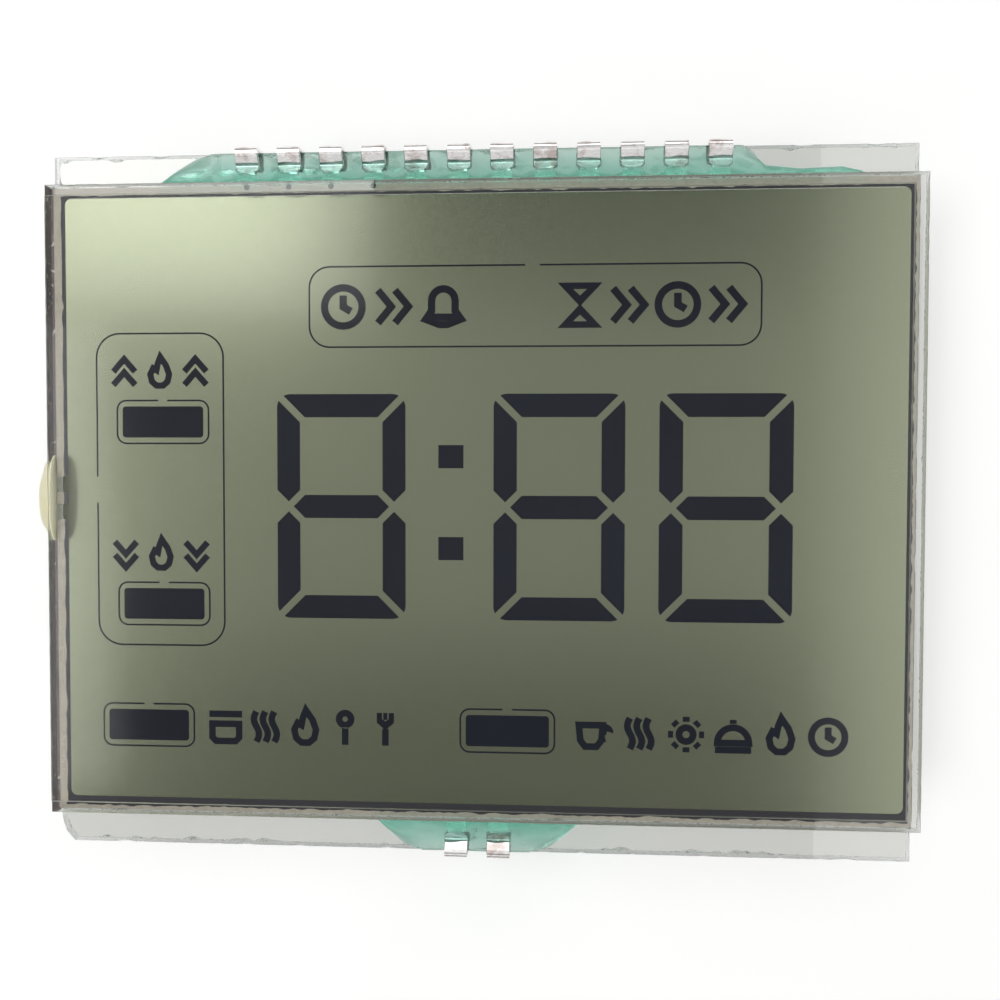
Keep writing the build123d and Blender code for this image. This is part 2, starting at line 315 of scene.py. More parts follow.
class SharedNodes:
    """Node groups that several finishes use."""

    def __init__(self) -> None:
        """Build each group once."""
        self.grain = self.build_grain()
        self.stain = self.build_stain()

    @staticmethod
    def start(name: str, numbers: dict[str, float], outputs: list[str]) -> bpy.types.NodeTree:
        """Return a new group with a Vector input, number inputs and number outputs.

        Args:
            name: Name of the group.
            numbers: Titles of the number inputs and their usual values.
            outputs: Titles of the outputs.

        Returns:
            The group, still without nodes.
        """
        tree = bpy.data.node_groups.new(name, "ShaderNodeTree")
        tree.interface.new_socket("Vector", in_out="INPUT", socket_type="NodeSocketVector")
        for title, value in numbers.items():
            socket = tree.interface.new_socket(
                title, in_out="INPUT", socket_type="NodeSocketFloat"
            )
            socket.default_value = value
        for title in outputs:
            tree.interface.new_socket(title, in_out="OUTPUT", socket_type="NodeSocketFloat")
        return tree

    def build_grain(self) -> bpy.types.NodeTree:
        """Return a group for the fine and the slow variation of a surface.

        Returns:
            The group, with outputs Fine and Slow.
        """
        tree = self.start("surface_grain", {"Fine Scale": 12000.0, "Slow Scale": 120.0},
                          ["Fine", "Slow"])
        recipe = Recipe(tree)
        source = recipe.add("NodeGroupInput")
        fine = recipe.add("ShaderNodeTexNoise", {
            "Vector": source.outputs["Vector"], "Scale": source.outputs["Fine Scale"],
            "Detail": 1.0, "Roughness": 0.6})
        slow = recipe.add("ShaderNodeTexNoise", {
            "Vector": source.outputs["Vector"], "Scale": source.outputs["Slow Scale"],
            "Detail": 1.0, "Roughness": 0.5})
        recipe.add("NodeGroupOutput", {
            "Fine": fine.outputs[0], "Slow": slow.outputs[0]})
        return tree

    def build_stain(self) -> bpy.types.NodeTree:
        """Return a group for soft-edged patches such as stains, scuffs and chips.

        Returns:
            The group, whose output Mask is 1 inside a patch.
        """
        tree = self.start("soft_patches", {"Scale": 900.0, "Start": 0.55, "Edge": 0.08},
                          ["Mask"])
        recipe = Recipe(tree)
        source = recipe.add("NodeGroupInput")
        cloud = recipe.add("ShaderNodeTexNoise", {
            "Vector": source.outputs["Vector"], "Scale": source.outputs["Scale"],
            "Detail": 3.0, "Roughness": 0.65})
        above = recipe.math("SUBTRACT", cloud.outputs[0], source.outputs["Start"])
        share = recipe.math("DIVIDE", above, source.outputs["Edge"])
        mask = recipe.add("ShaderNodeClamp", {"Value": share})
        recipe.add("NodeGroupOutput", {"Mask": mask.outputs[0]})
        return tree


@dataclass(frozen=True)
class PolishedGlass:
    """A clear polished face of float glass, or of a film's top."""

    name: str = "polished_glass"
    tint: Colour = (0.66, 0.665, 0.64)
    roughness: float = 0.0
    refraction: float = 1.52

    def build(self, shared: SharedNodes) -> bpy.types.Material:
        """Return the material.

        Args:
            shared: The node groups.

        Returns:
            Glass that lets the lamps' light through.
        """
        material, recipe = Recipe.material(self.name)
        glass = recipe.add("ShaderNodeBsdfPrincipled", {
            "Base Color": (*self.tint, 1.0), "Roughness": 0.0,
            "IOR": self.refraction, "Transmission Weight": 1.0})
        if self.roughness:
            grain = recipe.group(shared.grain, {
                "Vector": recipe.place(), "Fine Scale": 9000.0, "Slow Scale": 90.0})
            haze = recipe.math("MULTIPLY_ADD", grain.outputs["Slow"], 0.25 * self.roughness,
                               0.87 * self.roughness)
            recipe.tree.links.new(haze, glass.inputs["Roughness"])
        recipe.clear_to_lamps(glass, self.tint)
        return material


@dataclass(frozen=True)
class CutGlass:
    """The scored and broken edge of a glass plate, with shell-shaped chips."""

    name: str = "cut_glass_edge"
    tint: Colour = (0.52, 0.58, 0.55)
    dark: Colour = (0.10, 0.085, 0.10)
    lamp_tint: Colour = (0.8, 0.85, 0.83)
    refraction: float = 1.52

    def build(self, shared: SharedNodes) -> bpy.types.Material:
        """Return the material.

        Args:
            shared: The node groups.

        Returns:
            Rough glass with darker streaks.
        """
        material, recipe = Recipe.material(self.name)
        place = recipe.place()
        grain = recipe.group(shared.grain, {
            "Vector": place, "Fine Scale": 5200.0, "Slow Scale": 700.0})
        streak = recipe.group(shared.stain, {
            "Vector": place, "Scale": 2300.0, "Start": 0.56, "Edge": 0.07})
        colour = recipe.mix(streak.outputs["Mask"], self.tint, self.dark)
        rough = recipe.math("MULTIPLY_ADD", grain.outputs["Fine"], 0.35, 0.25)
        glass = recipe.add("ShaderNodeBsdfPrincipled", {
            "Base Color": colour, "Roughness": rough, "IOR": self.refraction,
            "Transmission Weight": 1.0,
            "Normal": recipe.bump(grain.outputs["Fine"], 0.7, 0.06 * MM)})
        recipe.clear_to_lamps(glass, self.lamp_tint)
        return material


@dataclass(frozen=True)
class ResidueFinish:
    """A cut edge with dark remains of the filling on it and pale flakes in them."""

    name: str = "edge_residue"
    dark: Colour = (0.055, 0.045, 0.062)
    brown: Colour = (0.17, 0.135, 0.12)
    flake: Colour = (0.52, 0.49, 0.42)

    def build(self, shared: SharedNodes) -> bpy.types.Material:
        """Return the material.

        Args:
            shared: The node groups.

        Returns:
            A dull crust with pale flakes.
        """
        material, recipe = Recipe.material(self.name)
        place = recipe.place()
        grain = recipe.group(shared.grain, {
            "Vector": place, "Fine Scale": 5200.0, "Slow Scale": 800.0})
        flakes = recipe.group(shared.stain, {
            "Vector": place, "Scale": 2600.0, "Start": 0.6, "Edge": 0.06})
        colour = recipe.mix(grain.outputs["Slow"], self.dark, self.brown)
        colour = recipe.mix(flakes.outputs["Mask"], colour, self.flake)
        crust = recipe.add("ShaderNodeBsdfPrincipled", {
            "Base Color": colour, "Roughness": 0.6,
            "Normal": recipe.bump(grain.outputs["Fine"], 0.6, 0.04 * MM)})
        recipe.finish(crust.outputs[0])
        return material


@dataclass(frozen=True)
class BondedFace:
    """A face joined to the next layer by clear adhesive or fluid, so it can't be seen."""

    name: str = "bonded_face"
    tint: Colour = (1.0, 1.0, 1.0)

    def build(self) -> bpy.types.Material:
        """Return a clear material that doesn't bend the light.

        Returns:
            Glass with the refraction of air.
        """
        material, recipe = Recipe.material(self.name)
        clear = recipe.add("ShaderNodeBsdfPrincipled", {
            "Base Color": (*self.tint, 1.0), "Roughness": 0.0, "IOR": 1.0,
            "Specular IOR Level": 0.0, "Transmission Weight": 1.0})
        recipe.clear_to_lamps(clear, self.tint)
        return material


@dataclass(frozen=True)
class FoilFinish:
    """A satin film or foil with fine grain and a slow change of tone."""

    name: str
    colour: Colour
    shade: Colour
    metallic: float
    roughness: float
    scuff: float = 0.0

    def build(self, shared: SharedNodes) -> bpy.types.Material:
        """Return the material.

        Args:
            shared: The node groups.

        Returns:
            A satin surface.
        """
        material, recipe = Recipe.material(self.name)
        place = recipe.place()
        grain = recipe.group(shared.grain, {
            "Vector": place, "Fine Scale": 9000.0, "Slow Scale": 60.0})
        tone = recipe.math("MULTIPLY_ADD", grain.outputs["Fine"], 0.5,
                           recipe.math("MULTIPLY", grain.outputs["Slow"], 0.6))
        colour = recipe.mix(tone, self.shade, self.colour)
        rough = recipe.math("MULTIPLY_ADD", grain.outputs["Fine"], 0.12, self.roughness)
        if self.scuff:
            scuff = recipe.group(shared.stain, {
                "Vector": place, "Scale": 260.0, "Start": 0.6, "Edge": 0.12})
            worn = recipe.math("MULTIPLY", scuff.outputs["Mask"], self.scuff)
            rough = recipe.math("ADD", rough, worn)
        foil = recipe.add("ShaderNodeBsdfPrincipled", {
            "Base Color": colour, "Metallic": self.metallic, "Roughness": rough})
        if self.scuff:
            normal = recipe.bump(grain.outputs["Fine"], 0.25, 0.01 * MM)
            recipe.tree.links.new(normal, foil.inputs["Normal"])
        recipe.finish(foil.outputs[0])
        return material


@dataclass(frozen=True)
class InkFinish:
    """A switched-on electrode: dark blue-grey, slightly uneven."""

    name: str = "dark_segment_tone"
    colour: Colour = linear(26, 31, 44)
    shade: Colour = linear(17, 20, 29)

    def build(self, shared: SharedNodes) -> bpy.types.Material:
        """Return the material.

        Args:
            shared: The node groups.

        Returns:
            A dull dark tone.
        """
        material, recipe = Recipe.material(self.name)
        grain = recipe.group(shared.grain, {
            "Vector": recipe.place(), "Fine Scale": 7000.0, "Slow Scale": 150.0})
        colour = recipe.mix(grain.outputs["Slow"], self.shade, self.colour)
        rough = recipe.math("MULTIPLY_ADD", grain.outputs["Fine"], 0.1, 0.55)
        ink = recipe.add("ShaderNodeBsdfPrincipled", {
            "Base Color": colour, "Roughness": rough, "Specular IOR Level": 0.1})
        recipe.finish(ink.outputs[0])
        return material


@dataclass(frozen=True)
class SealFinish:
    """The cell's epoxy line: dark where both films cover it and beige outside them."""

    covered: Rect
    name: str = "cell_seal_epoxy"
    dark: Colour = linear(28, 27, 36)
    bare: Colour = linear(186, 180, 165)
    bare_shade: Colour = linear(150, 144, 130)
    ragged: float = 0.3 * MM

    def build(self, shared: SharedNodes) -> bpy.types.Material:
        """Return the material.

        Args:
            shared: The node groups.

        Returns:
            Epoxy in two tones with a slightly ragged border between them.
        """
        material, recipe = Recipe.material(self.name)
        place = recipe.place()
        grain = recipe.group(shared.grain, {
            "Vector": place, "Fine Scale": 3800.0, "Slow Scale": 1500.0})
        ragged = recipe.math(
            "MULTIPLY_ADD", grain.outputs["Slow"], self.ragged, -self.ragged / 2)
        axes = recipe.add("ShaderNodeSeparateXYZ", {0: place})
        x = recipe.math("ADD", axes.outputs[0], ragged)
        y = recipe.math("ADD", axes.outputs[1], ragged)
        share = recipe.math("MULTIPLY",
                            recipe.math("GREATER_THAN", x, self.covered.left),
                            recipe.math("LESS_THAN", x, self.covered.right))
        share = recipe.math("MULTIPLY", share,
                            recipe.math("GREATER_THAN", y, self.covered.bottom))
        share = recipe.math("MULTIPLY", share,
                            recipe.math("LESS_THAN", y, self.covered.top))
        bare = recipe.mix(grain.outputs["Fine"], self.bare_shade, self.bare)
        epoxy = recipe.add("ShaderNodeBsdfPrincipled", {
            "Base Color": recipe.mix(share, bare, self.dark), "Roughness": 0.6,
            "Normal": recipe.bump(grain.outputs["Fine"], 0.4, 0.02 * MM)})
        recipe.finish(epoxy.outputs[0])
        return material


@dataclass(frozen=True)
class TinFinish:
    """Bright tin plating with brown tarnish and fine rolling grain."""

    name: str = "tin_plating"
    colour: Colour = (0.94, 0.92, 0.91)
    tarnish: Colour = (0.42, 0.29, 0.24)
    tarnish_share: float = 0.55

    def build(self, shared: SharedNodes) -> bpy.types.Material:
        """Return the material.

        Args:
            shared: The node groups.

        Returns:
            A metal with soft stains.
        """
        material, recipe = Recipe.material(self.name)
        place = recipe.place()
        grain = recipe.group(shared.grain, {
            "Vector": place, "Fine Scale": 9000.0, "Slow Scale": 1400.0})
        stain = recipe.group(shared.stain, {
            "Vector": place, "Scale": 850.0, "Start": 0.5, "Edge": 0.16})
        amount = recipe.math("MULTIPLY", stain.outputs["Mask"], self.tarnish_share)
        colour = recipe.mix(amount, self.colour, self.tarnish)
        rough = recipe.math("MULTIPLY_ADD", grain.outputs["Slow"], 0.2, 0.14)
        metal = recipe.add("ShaderNodeBsdfPrincipled", {
            "Base Color": colour, "Metallic": 1.0, "Roughness": rough,
            "Normal": recipe.bump(grain.outputs["Fine"], 0.35, 0.008 * MM)})
        recipe.finish(metal.outputs[0])
        return material


@dataclass(frozen=True)
class AdhesiveFinish:
    """Clear blue-green cured adhesive with a wet skin."""

    name: str = "pin_adhesive_clear"
    tint: Colour = (0.26, 0.72, 0.58)
    thin: Colour = (0.68, 0.90, 0.85)
    wall: float = 18.9 * MM
    fade: float = 2.0 * MM
    lamp_tint: Colour = (0.62, 0.93, 0.84)
    refraction: float = 1.47

    def build(self, shared: SharedNodes) -> bpy.types.Material:
        """Return the material.

        Args:
            shared: The node groups.

        Returns:
            Clear adhesive, paler away from the front plate.
        """
        material, recipe = Recipe.material(self.name)
        place = recipe.place()
        grain = recipe.group(shared.grain, {
            "Vector": place, "Fine Scale": 2600.0, "Slow Scale": 650.0})
        away = recipe.math("ABSOLUTE", recipe.add(
            "ShaderNodeSeparateXYZ", {0: place}).outputs[1])
        share = recipe.math("DIVIDE", recipe.math("SUBTRACT", away, self.wall), self.fade)
        share = recipe.math("ADD", share, recipe.math(
            "MULTIPLY_ADD", grain.outputs["Slow"], 0.5, -0.25))
        share = recipe.add("ShaderNodeClamp", {"Value": share}).outputs[0]
        colour = recipe.mix(share, self.tint, self.thin)
        resin = recipe.add("ShaderNodeBsdfPrincipled", {
            "Base Color": colour, "Roughness": 0.06, "IOR": self.refraction,
            "Transmission Weight": 1.0,
            "Normal": recipe.bump(grain.outputs["Fine"], 0.25, 0.05 * MM)})
        recipe.clear_to_lamps(resin, self.lamp_tint)
        return material


@dataclass(frozen=True)
class ResinFinish:
    """Pale cured resin, a little waxy."""

    name: str = "end_seal_resin_cream"
    colour: Colour = linear(240, 236, 206)
    shade: Colour = linear(222, 216, 178)

    def build(self, shared: SharedNodes) -> bpy.types.Material:
        """Return the material.

        Args:
            shared: The node groups.

        Returns:
            A waxy resin.
        """
        material, recipe = Recipe.material(self.name)
        grain = recipe.group(shared.grain, {
            "Vector": recipe.place(), "Fine Scale": 3000.0, "Slow Scale": 700.0})
        colour = recipe.mix(grain.outputs["Slow"], self.shade, self.colour)
        rough = recipe.math("MULTIPLY_ADD", grain.outputs["Fine"], 0.15, 0.25)
        resin = recipe.add("ShaderNodeBsdfPrincipled", {
            "Base Color": colour, "Roughness": rough, "Subsurface Weight": 0.4,
            "Subsurface Radius": (0.6 * MM, 0.5 * MM, 0.3 * MM), "Subsurface Scale": 1.0,
            "Normal": recipe.bump(grain.outputs["Fine"], 0.3, 0.03 * MM)})
        recipe.finish(resin.outputs[0])
        return material


@dataclass(frozen=True)
class PasteFinish:
    """A thin matt print: carbon paste, or the clear coating of a contact pad."""

    name: str
    colour: Colour
    shade: Colour
    alpha: float = 1.0

    def build(self, shared: SharedNodes) -> bpy.types.Material:
        """Return the material.

        Args:
            shared: The node groups.

        Returns:
            A dull print, see-through where alpha is below 1.
        """
        material, recipe = Recipe.material(self.name)
        grain = recipe.group(shared.grain, {
            "Vector": recipe.place(), "Fine Scale": 6000.0, "Slow Scale": 1200.0})
        colour = recipe.mix(grain.outputs["Slow"], self.shade, self.colour)
        inputs = {
            "Base Color": colour, "Roughness": 0.5, "Alpha": self.alpha,
            "Normal": recipe.bump(grain.outputs["Fine"], 0.4, 0.02 * MM)}
        paste = recipe.add("ShaderNodeBsdfPrincipled", inputs)
        recipe.finish(paste.outputs[0])
        return material


class Bench:
    """Keeps the built finishes and turns meshes into pieces on the frame."""

    def __init__(self) -> None:
        """Build the shared groups and the finishes that don't depend on a size."""
        shared = SharedNodes()
        self.shared = shared
        self.glass = PolishedGlass().build(shared)
        self.cut_edge = CutGlass().build(shared)
        self.bonded = BondedFace().build()
        self.film_top = PolishedGlass(
            "film_gloss", tint=(0.96, 0.965, 0.95), roughness=0.10, refraction=1.25,
        ).build(shared)
        self.film_edge = PolishedGlass(
            "film_cut_edge", tint=(0.55, 0.56, 0.52), roughness=0.35, refraction=1.49,
        ).build(shared)
        self.film_tint = BondedFace("film_tint", (0.93, 0.94, 0.90)).build()
        self.fluid = BondedFace("liquid_layer", (0.985, 0.99, 0.97)).build()
        self.field = FoilFinish(
            "rear_film_grey_green", colour=(0.205, 0.22, 0.158), shade=(0.188, 0.203, 0.142),
            metallic=0.8, roughness=0.14,
        ).build(shared)
        self.foil = FoilFinish(
            "reflector_satin", colour=linear(206, 207, 203), shade=linear(180, 182, 179),
            metallic=0.85, roughness=0.42, scuff=0.2,
        ).build(shared)
        self.ink = InkFinish().build(shared)
        self.tin = TinFinish().build(shared)
        self.adhesive = AdhesiveFinish().build(shared)
        self.resin = ResinFinish().build(shared)
        self.residue = ResidueFinish().build(shared)
        self.paste = PasteFinish(
            "carbon_paste_black", colour=(0.018, 0.018, 0.018), shade=(0.008, 0.008, 0.009),
        ).build(shared)
        self.coating = PasteFinish(
            "pad_coating", colour=(0.78, 0.88, 0.82), shade=(0.62, 0.74, 0.68), alpha=0.3,
        ).build(shared)

    @staticmethod
    def dress(node: bpy.types.Object, material: bpy.types.Material) -> None:
        """Give a CAD node its finish."""
        node.data.materials.clear()
        node.data.materials.append(material)

    @staticmethod
    def piece(
        name: str,
        verts: list[tuple[float, float, float]],
        faces: list[tuple[int, ...]],
        materials: list[bpy.types.Material],
        kinds: list[int] | None = None,
        smooth: bool = False,
    ) -> bpy.types.Object:
        """Return a new object from points and faces.

        Args:
            name: Name of the piece.
            verts: Points in metres.
            faces: Faces as tuples of point numbers.
            materials: Finishes in slot order.
            kinds: The slot of each face, or None where all take the first.
            smooth: Whether the faces are shaded smooth.

        Returns:
            The object, linked to the scene.
        """
        mesh = bpy.data.meshes.new(name)
        mesh.from_pydata(verts, [], faces)
        for material in materials:
            mesh.materials.append(material)
        for polygon in mesh.polygons:
            polygon.use_smooth = smooth
            if kinds:
                polygon.material_index = kinds[polygon.index]
        shape = bmesh.new()
        shape.from_mesh(mesh)
        bmesh.ops.remove_doubles(shape, verts=shape.verts, dist=1e-8)
        bmesh.ops.dissolve_degenerate(shape, edges=shape.edges, dist=1e-8)
        bmesh.ops.recalc_face_normals(shape, faces=shape.faces)
        shape.to_mesh(mesh)
        shape.free()
        mesh.validate()
        thing = bpy.data.objects.new(name, mesh)
        bpy.context.scene.collection.objects.link(thing)
        return thing

    @staticmethod
    def lighten(piece: bpy.types.Object) -> bpy.types.Object:
        """Keep a clear layer out of the bounced light, which it would hardly change.

        Args:
            piece: The layer.

        Returns:
            The same layer.
        """
        piece.visible_diffuse = False
        piece.visible_glossy = False
        piece.visible_shadow = False
        return piece

    @staticmethod
    def without_double(piece: bpy.types.Object) -> None:
        """Keep a piece's shadow and mirror image off the field close behind it."""
        piece.visible_shadow = False
        piece.visible_glossy = False

    @staticmethod
    def settle(piece: bpy.types.Object, slot: str, *nodes: str) -> bpy.types.Object:
        """Put a finished piece on the frame in place of some CAD nodes.

        Args:
            piece: The piece.
            slot: The record's material slot. It is not used.
            nodes: The CAD nodes that it stands for, if any.

        Returns:
            The piece.
        """
        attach(piece, ROOT)
        if nodes:
            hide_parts(*nodes)
        log.info("%s: %d faces", piece.name, len(piece.data.polygons))
        return piece


@dataclass
class Slab:
    """A thin plate with bevelled, unevenly chipped edges, built as rings round its outline."""

    name: str
    outline: list[Point]
    low: float
    high: float
    top_bond: Rect | None = None
    bottom_bond: Rect | None = None
    bevel: float = 0.03 * MM
    bevel_change: float = 0.6
    waver: float = 0.02 * MM
    chips: int = 0
    chip_reach: float = 0.5 * MM
    chip_depth: float = 0.25 * MM
    residue_reach: float = 0.0
    residue_free: Point = (0.0, 0.0)
    rim_share: float = 0.4
    cover_inset: float = 0.25 * MM
    step: float = 0.3 * MM
    seed: int = 1

    def perimeter(self) -> list[tuple[float, float, float, float]]:
        """Return points along the outline with the direction that points inwards at each.

        Returns:
            Lists of x, y and the inward direction's x and y.
        """
        points = []
        count = len(self.outline)
        inward = []
        for i in range(count):
            a = Vector(self.outline[i])
            b = Vector(self.outline[(i + 1) % count])
            along = (b - a).normalized()
            inward.append(Vector((-along.y, along.x)))
        for i in range(count):
            a = Vector(self.outline[i])
            b = Vector(self.outline[(i + 1) % count])
            steps = max(1, round((b - a).length / self.step))
            for k in range(steps):
                at = a.lerp(b, k / steps)
                normal = inward[i]
                if k == 0:
                    before = inward[i - 1]
                    normal = (normal + before) / (1 + normal.dot(before))
                points.append((at.x, at.y, normal.x, normal.y))
        return points

    def soiled(self, kind: Face, at: tuple[float, float, float]) -> Face:
        """Return the kind of an outer face, which differs where residue of the filling sticks.

        Args:
            kind: The kind that the face has where it is clean.
            at: The face's first point.

        Returns:
            The kind that it has here.
        """
        left = min(x for x, _ in self.outline)
        low, high = self.residue_free
        covered = at[0] < left + self.residue_reach and not low < at[1] < high
        bare = kind is Face.CUT or at[2] <= self.low
        return Face.RESIDUE if bare and covered else kind

    def edge_cuts(self, points: list[tuple], rng: random.Random) -> list[float]:
        """Return how far the bevel reaches in at each point, chips included.

        Args:
            points: The outline's points from perimeter.
            rng: Source of the chips' places and sizes.

        Returns:
            One depth for each point.
        """
        cuts = []
        centres = [
            (rng.choice(points)[:2], rng.uniform(0.3, 1.0)) for _ in range(self.chips)
        ]
        for x, y, _, _ in points:
            wave = noise.noise(Vector((x / MM * 1.7, y / MM * 1.7, self.seed * 3.1)))
            cut = self.bevel * (1 + self.bevel_change * wave)
            for (cx, cy), size in centres:
                away = math.hypot(x - cx, y - cy) / (self.chip_reach * size)
                if away < 1:
                    cut = max(cut, self.chip_depth * size * (1 - away * away))
            cuts.append(cut)
        return cuts

    def cover(
        self, verts: list[tuple[float, float, float]], ring: list[int], most: int = 16
    ) -> list[tuple[int, ...]]:
        """Close a level ring with smaller rings of half as many points each.

        Args:
            verts: All points so far, to which the new ones are added.
            ring: Numbers of the ring's points.
            most: Points at which the last ring is closed with one face.

        Returns:
            The faces.
        """
        level = verts[ring[0]][2]
        xs = [verts[number][0] for number in ring]
        ys = [verts[number][1] for number in ring]
        box = Rect(min(xs), max(xs), min(ys), max(ys))
        faces: list[tuple[int, ...]] = []
        inset = self.cover_inset
        while len(ring) > most:
            inner_box = box.shrunk(inset)
            inner = []
            for number in ring[::2]:
                inner.append(len(verts))
                verts.append((*inner_box.clamp(*verts[number][:2]), level))
            for k, near in enumerate(inner):
                ahead = inner[(k + 1) % len(inner)]
                first = ring[2 * k]
                second = ring[(2 * k + 1) % len(ring)]
                if 2 * k + 1 == len(ring):
                    faces.append((first, second, ahead, near))
                    continue
                third = ring[(2 * k + 2) % len(ring)]
                faces += [(first, second, near), (second, third, ahead), (second, ahead, near)]
            ring = inner
            inset = 2 * inset + self.cover_inset
        faces.append(tuple(ring))
        return faces

    def build(self, materials: list[bpy.types.Material]) -> bpy.types.Object:
        """Return the plate.

        Args:
            materials: The finishes in the order of Face, without the last where none sticks.

        Returns:
            A closed mesh.
        """
        rng = random.Random(self.seed)
        points = self.perimeter()
        top_cuts = self.edge_cuts(points, rng)
        bottom_cuts = self.edge_cuts(points, rng)
        rings: list[list[tuple[float, float, float]]] = []
        kinds_between: list[Face] = []

        def ring(cuts: list[float], height: Callable[[float], float]) -> None:
            """Add a ring that is set in by cuts, at a height that depends on them.

            Args:
                cuts: How far each point is set in.
                height: The z for a depth of cut.
            """
            rings.append([
                (x + nx * cut, y + ny * cut, height(cut))
                for (x, y, nx, ny), cut in zip(points, cuts)
            ])

        middle = [
            self.waver * (0.5 + 0.5 * noise.noise(Vector((x / MM * 2.3, y / MM * 2.3, 9.7))))
            for x, y, _, _ in points
        ]
        if self.bottom_bond:
            rings.append([(*self.bottom_bond.clamp(x, y), self.low) for x, y, _, _ in points])
            kinds_between.append(Face.POLISHED)
        ring(bottom_cuts, lambda cut: self.low)
        kinds_between.append(Face.CUT)
        rim = self.rim_share * (self.high - self.low)
        rings.append([(x, y, self.low + min(cut, rim))
                      for (x, y, _, _), cut in zip(points, bottom_cuts)])
        kinds_between.append(Face.CUT)
        centre = (self.low + self.high) / 2
        ring(middle, lambda cut: centre)
        kinds_between.append(Face.CUT)
        rings.append([(x, y, self.high - min(cut, rim))
                      for (x, y, _, _), cut in zip(points, top_cuts)])
        kinds_between.append(Face.CUT)
        ring(top_cuts, lambda cut: self.high)
        if self.top_bond:
            kinds_between.append(Face.POLISHED)
            rings.append([(*self.top_bond.clamp(x, y), self.high) for x, y, _, _ in points])
        count = len(points)
        verts = [vert for one in rings for vert in one]
        faces: list[tuple[int, ...]] = []
        kinds: list[int] = []
        for level, kind in enumerate(kinds_between):
            for i in range(count):
                j = (i + 1) % count
                a = level * count
                b = a + count
                faces.append((a + i, a + j, b + j, b + i))
                kinds.append(self.soiled(kind, verts[a + i]).value)
        last = (len(rings) - 1) * count
        for start, bond in ((0, self.bottom_bond), (last, self.top_bond)):
            kind = Face.BONDED if bond else Face.POLISHED
            cover = self.cover(verts, list(range(start, start + count)))
            faces += cover
            kinds += [kind.value] * len(cover)
        return Bench.piece(self.name, verts, faces, materials, kinds)


